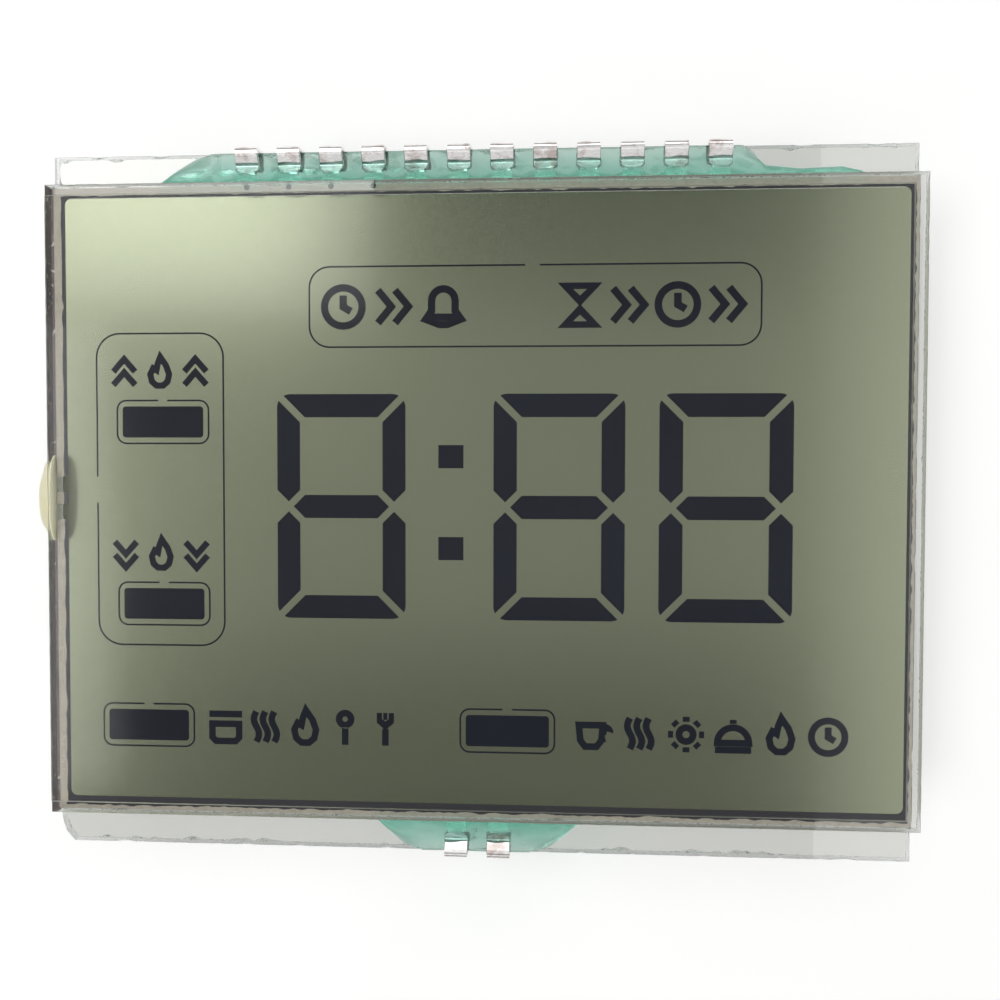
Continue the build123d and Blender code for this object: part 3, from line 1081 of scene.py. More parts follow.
@dataclass
class DisplayCell:
    """The stack of films, glass plates, seal and electrodes."""

    bench: Bench
    optical_gap: float = 0.01 * MM
    rear_film_overlap: float = 0.19 * MM
    corner_clip: Point = (0.8 * MM, 1.4 * MM)
    chip_reach: float = 0.6 * MM
    port_margin: float = 0.3 * MM
    dark_line_left: float = 0.22 * MM
    dark_line_right: float = 0.25 * MM
    dark_line_top: float = 0.16 * MM
    dark_line_bottom: float = 0.50 * MM

    def __post_init__(self) -> None:
        """Read the outlines that the layers share."""
        self.cell = Rect.of_node("common_electrodes").shrunk(-0.5 * MM)
        self.seal = Rect.of_node("perimeter_seal")
        self.film = Rect.of_node("front_polarizer")
        self.rear_film = Rect.of_node("rear_polarizer").shrunk(-self.rear_film_overlap)

    def build(self) -> None:
        """Build every layer, from the back to the front."""
        self.build_rear_film()
        self.build_rear_glass()
        self.dress_electrodes()
        self.build_fluid()
        self.build_front_glass()
        self.build_front_film()

    def glass_finishes(self) -> list[bpy.types.Material]:
        """Return the finishes of a glass plate, in the order of Face."""
        return [self.bench.glass, self.bench.cut_edge, self.bench.bonded, self.bench.residue]

    def build_rear_film(self) -> None:
        """Build the rear film, and finish the reflector behind it."""
        low, high = levels("rear_polarizer")
        slab = Slab("rear_film", self.rear_film.corners(), low, high - self.optical_gap,
                    bevel=0.02 * MM, waver=0.01 * MM, seed=4)
        film = slab.build([self.bench.field] * 3)
        Bench.settle(film, "rear_film", "rear_polarizer")
        Bench.dress(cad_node("reflector"), self.bench.foil)

    def build_rear_glass(self) -> None:
        """Build the rear plate with its clipped and chipped edges."""
        low, high = levels("rear_glass")
        outline = Rect.of_node("rear_glass")
        clip_x, clip_y = self.corner_clip
        corners = outline.corners()
        corners[0:1] = [
            (outline.left, outline.bottom + clip_y),
            (outline.left + 0.35 * clip_x, outline.bottom + 0.42 * clip_y),
            (outline.left + clip_x, outline.bottom),
        ]
        slab = Slab("rear_plate", corners, low, high, top_bond=self.seal,
                    bottom_bond=self.rear_film, chips=64, chip_reach=self.chip_reach,
                    chip_depth=0.24 * MM, seed=11)
        plate = Bench.lighten(slab.build(self.glass_finishes()))
        Bench.settle(plate, "clear_glass", "rear_glass")

    def build_front_glass(self) -> None:
        """Build the front plate with its chipped edges."""
        low, high = levels("front_glass")
        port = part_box("end_seal")
        outline = Rect.of_node("front_glass")
        slab = Slab("front_plate", outline.corners(), low, high, top_bond=self.film,
                    bottom_bond=self.seal, chips=30, chip_reach=self.chip_reach,
                    chip_depth=0.13 * MM, residue_reach=0.2 * MM, seed=23,
                    residue_free=(port[0][1] + self.port_margin, port[1][1] - self.port_margin))
        plate = Bench.lighten(slab.build(self.glass_finishes()))
        Bench.settle(plate, "clear_glass", "front_glass")

    def build_front_film(self) -> None:
        """Build the front film, glossy on top and tinted through."""
        low, high = levels("front_polarizer")
        slab = Slab("front_film", self.film.corners(), low + self.optical_gap, high,
                    bottom_bond=self.film.shrunk(0.04 * MM), bevel=0.03 * MM,
                    waver=0.01 * MM, seed=31)
        film = slab.build([self.bench.film_top, self.bench.film_edge, self.bench.film_tint])
        Bench.lighten(film)
        Bench.settle(film, "polarizer_film", "front_polarizer")

    def build_fluid(self) -> None:
        """Build the fluid layer, which the clear common electrodes are part of to the eye."""
        low = levels("liquid_crystal")[0]
        high = levels("common_electrodes")[1]
        slab = Slab("fluid_layer", self.cell.corners(), low + self.optical_gap,
                    high - self.optical_gap, bevel=0.005 * MM, waver=0.0, step=1.0 * MM, seed=2)
        layer = Bench.lighten(slab.build([self.bench.fluid] * 3))
        Bench.settle(layer, "liquid_crystal", "liquid_crystal", "common_electrodes")

    def dress_electrodes(self) -> None:
        """Give the electrodes, the seal, the pads and the paste dots their finishes."""
        covered = Rect(
            self.cell.left - self.dark_line_left, self.cell.right + self.dark_line_right,
            self.cell.bottom - self.dark_line_bottom, self.cell.top + self.dark_line_top,
        )
        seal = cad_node("perimeter_seal")
        Bench.dress(seal, SealFinish(covered).build(self.bench.shared))
        Bench.without_double(seal)
        Bench.dress(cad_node("contact_pads"), self.bench.coating)
        Bench.dress(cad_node("crossover_dots"), self.bench.paste)
        artwork = [
            f"digit_{digit.value}_segment_{letter}" for digit in Digit for letter in "abcdefg"
        ]
        artwork += ["colon_dots", "setting_frame", "level_frame"]
        for place in ("upper_level", "lower_level", "first_mode", "second_mode"):
            artwork += [f"{place}_bar", f"{place}_outline"]
        for name in artwork:
            Bench.dress(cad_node(name), self.bench.ink)
            Bench.without_double(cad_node(name))


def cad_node(name: str) -> bpy.types.Object:
    """Return the object of a CAD node."""
    return FRAME["nodes"][name]


@dataclass
class ClipPin:
    """One stamped clip-on pin, drawn with its middle at x = 0 and its ledge edge at y = 0."""

    ledge_z: float
    glass_z: float
    leg_tip_z: float
    sheet: float = 0.25 * MM
    width: float = 1.4 * MM
    leg_width: float = 0.5 * MM
    leg_slot: float = 0.06 * MM
    clearance: float = 0.08 * MM
    bend: float = 0.25 * MM
    front_bend_height: float = 0.8 * MM
    contact_reach: float = 0.8 * MM
    tip_reach: float = 1.28 * MM
    tip_height: float = 0.33 * MM
    rear_reach: float = 1.1 * MM
    tip_chamfer: float = 0.22 * MM
    contact_sink: float = 0.01 * MM
    rear_chamfer: float = 0.08 * MM
    leg_chamfer: float = 0.1 * MM
    leg_point: float = 0.15 * MM
    edge_round: float = 0.035 * MM

    @property
    def web(self) -> float:
        """Return the y of the web's middle line, just off the glass edge."""
        return self.clearance + self.sheet / 2

    @property
    def half(self) -> float:
        """Return the z of the glass's middle, where the fingers and the leg meet."""
        return (self.ledge_z + self.glass_z) / 2

    def front_path(self) -> list[Point]:
        """Return the middle line of the front finger.

        Returns:
            Points of y and z from the web to the tip.
        """
        corners = [
            (self.web, self.half),
            (self.web, self.ledge_z + self.front_bend_height),
            (-self.contact_reach, self.ledge_z + self.sheet / 2 - self.contact_sink),
            (-self.tip_reach, self.ledge_z + self.tip_height),
        ]
        return rounded(corners, self.bend)

    def rear_path(self) -> list[Point]:
        """Return the middle line of a rear finger as y and z, from the web to its end."""
        level = self.glass_z - self.sheet / 2
        corners = [(self.web, self.half), (self.web, level), (-self.rear_reach, level)]
        return rounded(corners, self.web)

    def strip(
        self, path: list[Point], left: float, right: float, chamfer: float
    ) -> tuple[list, list]:
        """Return the points and faces of a strip that follows a path.

        Args:
            path: Middle line as y and z.
            left: Left edge in x.
            right: Right edge in x.
            chamfer: How much the two corners at the path's end are cut off.

        Returns:
            Points and faces of a closed strip.
        """
        stations = list(path)
        end = Vector(stations[-1])
        before = Vector(stations[-2])
        if chamfer:
            cut = end + (before - end).normalized() * chamfer
            stations[-1:] = [tuple(cut), tuple(end)]
        verts: list[tuple[float, float, float]] = []
        faces: list[tuple[int, ...]] = []
        last = len(stations) - 1
        r = self.edge_round
        for i, (y, z) in enumerate(stations):
            a = Vector(stations[max(i - 1, 0)])
            b = Vector(stations[min(i + 1, last)])
            along = (b - a).normalized()
            side = Vector((-along.y, along.x))
            inset = chamfer if chamfer and i == last else 0.0
            x0 = left + inset
            x1 = right - inset
            t = self.sheet / 2
            for x, offset in (
                (x0, -(t - r)), (x0 + r, -t), (x1 - r, -t), (x1, -(t - r)),
                (x1, t - r), (x1 - r, t), (x0 + r, t), (x0, t - r),
            ):
                verts.append((x, y + side.x * offset, z + side.y * offset))
        for i in range(last):
            for k in range(8):
                m = (k + 1) % 8
                faces.append((8 * i + k, 8 * i + m, 8 * i + 8 + m, 8 * i + 8 + k))
        faces.append(tuple(range(8)))
        faces.append(tuple(reversed(range(8 * last, 8 * last + 8))))
        return verts, faces

    def build(self, name: str, material: bpy.types.Material) -> bpy.types.Object:
        """Return the pin as one mesh.

        Args:
            name: Name of the piece.
            material: Its finish.

        Returns:
            The pin.
        """
        side = self.width / 2
        half_leg = self.leg_width / 2
        slot = half_leg + self.leg_slot
        leg_path = [(self.web, z) for z in (
            self.half, self.leg_tip_z + self.leg_point, self.leg_tip_z)]
        strips = [
            self.strip(self.front_path(), -side, side, self.tip_chamfer),
            self.strip(self.rear_path(), -side, -slot, self.rear_chamfer),
            self.strip(self.rear_path(), slot, side, self.rear_chamfer),
            self.strip(leg_path, -half_leg, half_leg, self.leg_chamfer),
        ]
        verts: list[tuple[float, float, float]] = []
        faces: list[tuple[int, ...]] = []
        for points, sides in strips:
            start = len(verts)
            verts += points
            faces += [tuple(start + k for k in face) for face in sides]
        return Bench.piece(name, verts, faces, [material])


def rounded(corners: list[Point], radius: float, steps: int = 9) -> list[Point]:
    """Return a path whose inner corners are arcs.

    Args:
        corners: The path's corner points.
        radius: Radius of each arc.
        steps: Points on each arc, less one.

    Returns:
        The path with points along its arcs.
    """
    path: list[Point] = [corners[0]]
    for i in range(1, len(corners) - 1):
        corner = Vector(corners[i])
        back = (Vector(corners[i - 1]) - corner).normalized()
        ahead = (Vector(corners[i + 1]) - corner).normalized()
        half = math.acos(max(-1.0, min(1.0, back.dot(ahead)))) / 2
        reach = radius / math.tan(half)
        centre = corner + (back + ahead).normalized() * (radius / math.sin(half))
        start = corner + back * reach - centre
        end = corner + ahead * reach - centre
        turn = math.atan2(start.x * end.y - start.y * end.x, start.dot(end))
        for k in range(steps + 1):
            angle = turn * k / steps
            spoke = Vector((
                start.x * math.cos(angle) - start.y * math.sin(angle),
                start.x * math.sin(angle) + start.y * math.cos(angle),
            ))
            path.append(tuple(centre + spoke))
    path.append(corners[-1])
    return path


class RowTree:
    """Geometry nodes that set copies of a piece in a row, each slightly turned."""

    def __init__(self) -> None:
        """Build the tree with its named inputs."""
        tree = bpy.data.node_groups.new("row_of_pieces", "GeometryNodeTree")
        self.tree = tree
        kinds = {
            "Piece": "NodeSocketObject", "Count": "NodeSocketInt", "Start": "NodeSocketVector",
            "Pitch": "NodeSocketFloat", "Turn": "NodeSocketFloat", "Seed": "NodeSocketInt",
            "Finish": "NodeSocketMaterial",
        }
        tree.interface.new_socket("Geometry", in_out="INPUT", socket_type="NodeSocketGeometry")
        for title, kind in kinds.items():
            tree.interface.new_socket(title, in_out="INPUT", socket_type=kind)
        tree.interface.new_socket("Geometry", in_out="OUTPUT", socket_type="NodeSocketGeometry")
        recipe = Recipe(tree)
        source = recipe.add("NodeGroupInput").outputs
        step = recipe.add("ShaderNodeCombineXYZ", {"X": source["Pitch"]})
        line = recipe.add("GeometryNodeMeshLine", {
            "Count": source["Count"], "Start Location": source["Start"],
            "Offset": step.outputs[0]})
        piece = recipe.add("GeometryNodeObjectInfo", {"Object": source["Piece"]})
        least = recipe.math("MULTIPLY", source["Turn"], -1.0)
        turn = recipe.add("FunctionNodeRandomValue", None, data_type="FLOAT")
        tree.links.new(least, turn.inputs[2])
        tree.links.new(source["Turn"], turn.inputs[3])
        tree.links.new(source["Seed"], turn.inputs[8])
        angles = recipe.add("ShaderNodeCombineXYZ", {"Z": turn.outputs[1]})
        copies = recipe.add("GeometryNodeInstanceOnPoints", {
            "Points": line.outputs["Mesh"], "Instance": piece.outputs["Geometry"],
            "Rotation": angles.outputs[0]})
        real = recipe.add("GeometryNodeRealizeInstances", {"Geometry": copies.outputs[0]})
        dressed = recipe.add("GeometryNodeSetMaterial", {
            "Geometry": real.outputs[0], "Material": source["Finish"]})
        recipe.add("NodeGroupOutput", {"Geometry": dressed.outputs[0]})

    def row(
        self,
        name: str,
        piece: bpy.types.Object,
        start: tuple[float, float, float],
        pitch: float,
        count: int,
        turn: float,
        seed: int,
    ) -> bpy.types.Object:
        """Return a row of copies as one plain mesh.

        Args:
            name: Name of the new piece.
            piece: The piece to copy, which is deleted.
            start: Place of the first copy.
            pitch: Step from one copy to the next, along x.
            count: Number of copies.
            turn: Largest random turn in radians.
            seed: Seed of the turns.

        Returns:
            The row.
        """
        holder = bpy.data.objects.new(name + "_holder", bpy.data.meshes.new(name + "_holder"))
        bpy.context.scene.collection.objects.link(holder)
        modifier = holder.modifiers.new("row", "NODES")
        modifier.node_group = self.tree
        values = {
            "Piece": piece, "Count": count, "Start": start, "Pitch": pitch, "Turn": turn,
            "Seed": seed, "Finish": piece.data.materials[0],
        }
        for socket in self.tree.interface.items_tree:
            if socket.in_out == "INPUT" and socket.name in values:
                modifier[socket.identifier] = values[socket.name]
        bpy.context.view_layer.update()
        graph = bpy.context.evaluated_depsgraph_get()
        mesh = bpy.data.meshes.new_from_object(holder.evaluated_get(graph))
        bpy.data.objects.remove(holder)
        bpy.data.objects.remove(piece)
        mesh.name = name
        row = bpy.data.objects.new(name, mesh)
        bpy.context.scene.collection.objects.link(row)
        return row


@dataclass
class PinRows:
    """The long and the short row of clip-on pins."""

    bench: Bench
    pitch: float = 2.54 * MM
    top_count: int = 12
    bottom_count: int = 2
    turn: float = 0.012

    def build(self) -> None:
        """Build both rows."""
        rows = RowTree()
        self.build_row(rows, "top_pin", self.top_count, 1, 5)
        self.build_row(rows, "bottom_pin", self.bottom_count, -1, 8)

    def build_row(self, rows: RowTree, stem: str, count: int, outward: int, seed: int) -> None:
        """Build one row in place of its CAD pins.

        Args:
            rows: The tree that sets out the row.
            stem: Start of the CAD nodes' names.
            count: Number of pins.
            outward: 1 where the row is on the upper edge, -1 on the lower one.
            seed: Seed of the pins' slight turns.
        """
        low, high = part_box("rear_glass")
        edge = high[1] if outward > 0 else low[1]
        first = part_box(f"{stem}_01")
        pin = ClipPin(high[2], low[2], first[0][2])
        model = pin.build(f"{stem}_model", self.bench.tin)
        if outward < 0:
            model.data.transform(Matrix.Rotation(math.pi, 4, "Z"))
        start = ((first[0][0] + first[1][0]) / 2, edge, 0.0)
        row = rows.row(f"{stem}_row", model, start, self.pitch, count, self.turn, seed)
        names = [f"{stem}_{number:02d}" for number in range(1, count + 1)]
        Bench.settle(row, "tinned_bronze", *names)


@dataclass
class AdhesiveBead:
    """A bead of adhesive over the pins' fingers, drawn as a height over the ledge."""

    bench: Bench
    node: str
    stem: str
    pins: int
    outline: list[Point]
    wall_height: float = 0.60 * MM
    middle_height: float = 0.46 * MM
    edge_height: float = 0.20 * MM
    wave: float = 0.07 * MM
    creep: float = 0.34 * MM
    climb: float = 0.09 * MM
    pull_reach: float = 0.75 * MM
    skin: float = 0.012 * MM
    ledge_gap: float = 0.006 * MM
    least_width: float = 0.02
    step: float = 0.12 * MM
    rows: int = 14
    seed: float = 3.0

    def pin_middles(self) -> list[float]:
        """Return the places of the pins that the bead covers.

        Returns:
            The x of each pin's middle.
        """
        middles = []
        for number in range(1, self.pins + 1):
            low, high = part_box(f"{self.stem}_{number:02d}")
            middles.append((low[0] + high[0]) / 2)
        return middles

    def width_at(self, x: float) -> float:
        """Return the share of the ledge that the bead covers.

        Args:
            x: Place along the row.

        Returns:
            A share from 0 to 1, read from the outline.
        """
        points = self.outline
        if x <= points[0][0] or x >= points[-1][0]:
            return 0.0
        for (x0, w0), (x1, w1) in zip(points, points[1:]):
            if x0 <= x <= x1:
                return w0 + (w1 - w0) * (x - x0) / (x1 - x0)
        return 0.0

    def height(self, x: float, across: float, middles: list[float]) -> float:
        """Return the bead's height.

        Args:
            x: Place along the row.
            across: 0 at the front plate and 1 at the bead's outer edge.
            middles: The pins' x.

        Returns:
            Height over the ledge, in metres.
        """
        covered = self.width_at(x)
        at_ledge = across * covered
        if at_ledge < 0.5:
            base = self.wall_height + (self.middle_height - self.wall_height) * at_ledge / 0.5
        else:
            base = self.middle_height + (self.edge_height - self.middle_height) * (
                at_ledge - 0.5) / 0.5
        near = min(abs(x - middle) for middle in middles)
        pull = math.exp(-((near / self.pull_reach) ** 2))
        climb = self.climb * pull * (1 - at_ledge)
        climb += self.creep * (0.25 + 0.75 * pull) * math.exp(-9 * at_ledge)
        ripple = noise.noise(Vector((x / MM * 1.1, across * 2.2, self.seed)))
        rim = (1 - across ** 6) if covered < 0.98 else 1.0
        thin = min(1.0, covered / 0.45) ** 0.5 if covered < 0.45 else 1.0
        return max((base + climb + self.wave * ripple) * rim * thin, 0.0)

    def build(self) -> None:
        """Build the bead in place of its CAD node."""
        low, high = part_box(self.node)
        plate_low, plate_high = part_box("front_glass")
        upper = low[1] > 0
        wall = plate_high[1] if upper else plate_low[1]
        edge = high[1] if upper else low[1]
        ledge_z = low[2]
        middles = self.pin_middles()
        start, end = self.outline[0][0], self.outline[-1][0]
        columns = max(2, round((end - start) / self.step))
        verts: list[tuple[float, float, float]] = []
        faces: list[tuple[int, ...]] = []
        for i in range(columns + 1):
            x = start + (end - start) * i / columns
            covered = max(self.width_at(x), self.least_width)
            for j in range(self.rows + 1):
                across = j / self.rows
                y = wall + (edge - wall) * across * covered
                z = ledge_z + self.height(x, across, middles)
                verts.append((x, y, max(z, ledge_z + self.skin)))
        lower = len(verts)
        verts += [(x, y, ledge_z + self.ledge_gap) for x, y, _ in verts]
        wide = self.rows + 1
        for i in range(columns):
            for j in range(self.rows):
                a = i * wide + j
                faces.append((a, a + wide, a + wide + 1, a + 1))
                b = a + lower
                faces.append((b, b + 1, b + wide + 1, b + wide))
            for j in (0, self.rows):
                a = i * wide + j
                faces.append((a, a + wide, a + wide + lower, a + lower))
        for i in (0, columns):
            for j in range(self.rows):
                a = i * wide + j
                faces.append((a, a + 1, a + 1 + lower, a + lower))
        bead = Bench.piece(self.node + "_bead", verts, faces, [self.bench.adhesive], smooth=True)
        Bench.settle(bead, "pin_adhesive", self.node)


@dataclass
class EndSeal:
    """The cured drop that closes the fill port, on the plates' left edges."""

    bench: Bench
    around: int = 40
    along: int = 24

    def build(self) -> None:
        """Build the drop as half of a lumpy ellipsoid, flat against the plates."""
        low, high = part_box("end_seal")
        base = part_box("rear_glass")[0][0]
        middle = Vector((base, (low[1] + high[1]) / 2, (low[2] + high[2]) / 2))
        bulge = base - low[0]
        half_length = (high[1] - low[1]) / 2
        half_depth = (high[2] - low[2]) / 2
        verts: list[tuple[float, float, float]] = []
        faces: list[tuple[int, ...]] = []
        for i in range(self.along + 1):
            lift = math.pi / 2 * i / self.along
            for k in range(self.around):
                turn = 2 * math.pi * k / self.around
                spread = math.cos(lift) ** 0.8
                y = math.cos(turn) * spread
                z = math.sin(turn) * spread
                x = math.sin(lift)
                lump = 1 - 0.05 * (1 + noise.noise(Vector((x * 2, y * 2.5, z * 2))))
                verts.append((
                    middle.x - bulge * x * lump,
                    middle.y + half_length * y * lump,
                    middle.z + half_depth * z * lump,
                ))
        for i in range(self.along):
            for k in range(self.around):
                m = (k + 1) % self.around
                a = i * self.around
                b = a + self.around
                faces.append((a + k, a + m, b + m, b + k))
        faces.append(tuple(range(self.around)))
        drop = Bench.piece("end_seal_drop", verts, faces, [self.bench.resin], smooth=True)
        Bench.settle(drop, "end_seal_resin", "end_seal")


@dataclass(frozen=True)
class Legend:
    """A row of small symbols in one place of the artwork, as strokes of even width."""

    name: str
    middle: Point
    height: float
    stroke: float
    pitch: float
    symbols: tuple[Symbol, ...]


class Glyphs:
    """Drawings of the symbols, as strokes in a box that is one unit high, from its middle."""

    @staticmethod
    def arc(x: float, y: float, radius: float, start: float, end: float, steps: int = 16
            ) -> list[Point]:
        """Return points along an arc.

        Args:
            x: Its centre.
            y: Its centre.
            radius: Its radius.
            start: Angle of the first point, in degrees.
            end: Angle of the last point, in degrees.
            steps: Number of steps.

        Returns:
            The points in order.
        """
        return [
            (
                x + radius * math.cos(math.radians(start + (end - start) * k / steps)),
                y + radius * math.sin(math.radians(start + (end - start) * k / steps)),
            )
            for k in range(steps + 1)
        ]

    @classmethod
    def strokes(cls, symbol: Symbol) -> list[list[Point]]:
        """Return the strokes of a symbol.

        Args:
            symbol: The symbol. The last lines draw the fork.

        Returns:
            Lists of points. A list that ends where it starts is a closed stroke.
        """
        arc = cls.arc
        if symbol is Symbol.CLOCK:
            return [arc(0, 0, 0.42, 0, 360, 32), [(0, 0.25), (0, 0), (0.17, -0.1)]]
        if symbol is Symbol.HOURGLASS:
            return [
                [(-0.32, 0.42), (0.32, 0.42), (0, 0.09), (-0.32, 0.42)],
                [(-0.32, -0.42), (0.32, -0.42), (0, -0.09), (-0.32, -0.42)],
            ]
        if symbol is Symbol.FORWARD:
            return [
                [(-0.34, 0.36), (-0.04, 0), (-0.34, -0.36)],
                [(0.04, 0.36), (0.34, 0), (0.04, -0.36)],
            ]
        if symbol is Symbol.BELL:
            return [
                [(-0.36, -0.24), (-0.26, -0.1), (-0.26, 0.1), *arc(0, 0.12, 0.26, 180, 0, 10),
                 (0.26, -0.1), (0.36, -0.24), (-0.36, -0.24)],
                [(-0.1, -0.4), (0.1, -0.4)],
            ]
        if symbol is Symbol.UP:
            return [
                [(-0.34, 0.02), (0, 0.4), (0.34, 0.02)],
                [(-0.34, -0.38), (0, 0.0), (0.34, -0.38)],
            ]
        if symbol is Symbol.DOWN:
            return [
                [(-0.34, -0.02), (0, -0.4), (0.34, -0.02)],
                [(-0.34, 0.38), (0, 0.0), (0.34, 0.38)],
            ]
        if symbol is Symbol.FLAME:
            return [[
                (0.02, 0.46), (0.2, 0.2), (0.29, -0.06), (0.24, -0.28), (0.1, -0.4),
                (-0.1, -0.4), (-0.24, -0.28), (-0.29, -0.06), (-0.2, 0.12), (-0.1, 0.06),
                (-0.06, 0.26), (0.02, 0.46),
            ]]
        if symbol is Symbol.POT:
            return [
                [(-0.36, 0.06), (-0.36, -0.3), (-0.26, -0.4), (0.26, -0.4), (0.36, -0.3),
                 (0.36, 0.06), (-0.36, 0.06)],
                [(-0.44, 0.32), (0.44, 0.32)],
            ]
        if symbol is Symbol.STEAM:
            return [
                [(x + 0.07 * math.sin(k * math.pi / 4), -0.4 + 0.1 * k) for k in range(9)]
                for x in (-0.24, 0.0, 0.24)
            ]
        if symbol is Symbol.CUP:
            return [
                [(-0.36, 0.2), (-0.32, -0.2), (-0.2, -0.36), (0.1, -0.36), (0.22, -0.2),
                 (0.26, 0.2), (-0.36, 0.2)],
                arc(0.3, 0.0, 0.15, 80, -80, 10),
            ]
        if symbol is Symbol.CLOCHE:
            return [
                [*arc(0, -0.2, 0.4, 180, 0, 20), (-0.4, -0.2)],
                [(-0.46, -0.38), (0.46, -0.38)],
                [(0, 0.3), (0, 0.4)],
            ]
        if symbol is Symbol.SUN:
            rays = []
            for k in range(8):
                angle = math.pi / 4 * k
                rays.append([
                    (0.33 * math.cos(angle), 0.33 * math.sin(angle)),
                    (0.46 * math.cos(angle), 0.46 * math.sin(angle)),
                ])
            return [arc(0, 0, 0.18, 0, 360, 24), *rays]
        if symbol is Symbol.SPOON:
            return [arc(0, 0.24, 0.16, 0, 360, 20), [(0, 0.02), (0, -0.44)]]
        return [
            [(-0.14, 0.42), (-0.14, 0.2), (0, 0.08), (0.14, 0.2), (0.14, 0.42)],
            [(0, 0.42), (0, 0.24)],
            [(0, 0.0), (0, -0.44)],
        ]


@dataclass
class Legends:
    """All symbols, one piece for each place, in the plane of the segments."""

    bench: Bench
    places: list[Legend]

    @staticmethod
    def outline(points: list[Point], width: float) -> list[list[Point]]:
        """Return the closed outlines of a stroke.

        Args:
            points: The stroke's middle line.
            width: Its width.

        Returns:
            Two loops for a closed stroke and one for an open stroke.
        """
        closed = math.dist(points[0], points[-1]) < 1e-6
        line = [Vector(point) for point in (points[:-1] if closed else points)]
        count = len(line)
        sides: tuple[list[Point], list[Point]] = ([], [])
        for i, at in enumerate(line):
            before = line[i - 1] if closed or i else None
            after = line[(i + 1) % count] if closed or i < count - 1 else None
            back = (at - before).normalized() if before is not None else None
            ahead = (after - at).normalized() if after is not None else None
            if back is None:
                back = ahead
            if ahead is None:
                ahead = back
            normal = Vector((-back.y - ahead.y, back.x + ahead.x)).normalized()
            stretch = 1 / max(0.45, normal.dot(Vector((-ahead.y, ahead.x))))
            for side, sign in zip(sides, (1, -1)):
                side.append(tuple(at + normal * sign * stretch * width / 2))
        if closed:
            return [sides[0], sides[1]]
        return [sides[0] + sides[1][::-1]]

    def build(self) -> None:
        """Build the symbols of every place."""
        low, high = levels("colon_dots")
        for legend in self.places:
            curve = bpy.data.curves.new(legend.name, "CURVE")
            curve.dimensions = "2D"
            curve.fill_mode = "BOTH"
            curve.extrude = (high - low) / 2
            count = len(legend.symbols)
            for number, symbol in enumerate(legend.symbols):
                shift = (number - (count - 1) / 2) * legend.pitch
                for stroke in Glyphs.strokes(symbol):
                    points = [
                        (legend.middle[0] + shift + x * legend.height,
                         legend.middle[1] + y * legend.height)
                        for x, y in stroke
                    ]
                    for loop in self.outline(points, legend.stroke):
                        spline = curve.splines.new("POLY")
                        spline.points.add(len(loop) - 1)
                        for point, (x, y) in zip(spline.points, loop):
                            point.co = (x, y, 0.0, 1.0)
                        spline.use_cyclic_u = True
            flat = bpy.data.objects.new(legend.name + "_curve", curve)
            bpy.context.scene.collection.objects.link(flat)
            bpy.context.view_layer.update()
            graph = bpy.context.evaluated_depsgraph_get()
            mesh = bpy.data.meshes.new_from_object(flat.evaluated_get(graph))
            bpy.data.objects.remove(flat)
            mesh.transform(Matrix.Translation((0, 0, (low + high) / 2)))
            mesh.materials.clear()
            mesh.materials.append(self.bench.ink)
            piece = bpy.data.objects.new(legend.name, mesh)
            Bench.without_double(piece)
            bpy.context.scene.collection.objects.link(piece)
            Bench.settle(piece, "dark_segment")


@dataclass(frozen=True)
class Softbox:
    """A soft lamp that faces the display.

    Attributes:
        name: Name of the lamp.
        place: Where it hangs.
        size: Width and height of its panel.
        glow: Radiance of the panel, where an even sky of 1 shows colours as they are.
    """

    name: str
    place: tuple[float, float, float]
    size: Point
    glow: float

    def build(self) -> None:
        """Hang the lamp, with its panel's width level."""
        width, height = self.size
        lamp = bpy.data.lights.new(self.name, "AREA")
        lamp.shape = "RECTANGLE"
        lamp.size = width
        lamp.size_y = height
        lamp.energy = self.glow * math.pi * width * height
        holder = bpy.data.objects.new(self.name, lamp)
        back = Vector(self.place).normalized()
        right = Vector((0, 1, 0)).cross(back).normalized()
        turn = Matrix((right, back.cross(right), back)).transposed().to_4x4()
        holder.matrix_world = Matrix.Translation(Vector(self.place)) @ turn
        bpy.context.scene.collection.objects.link(holder)


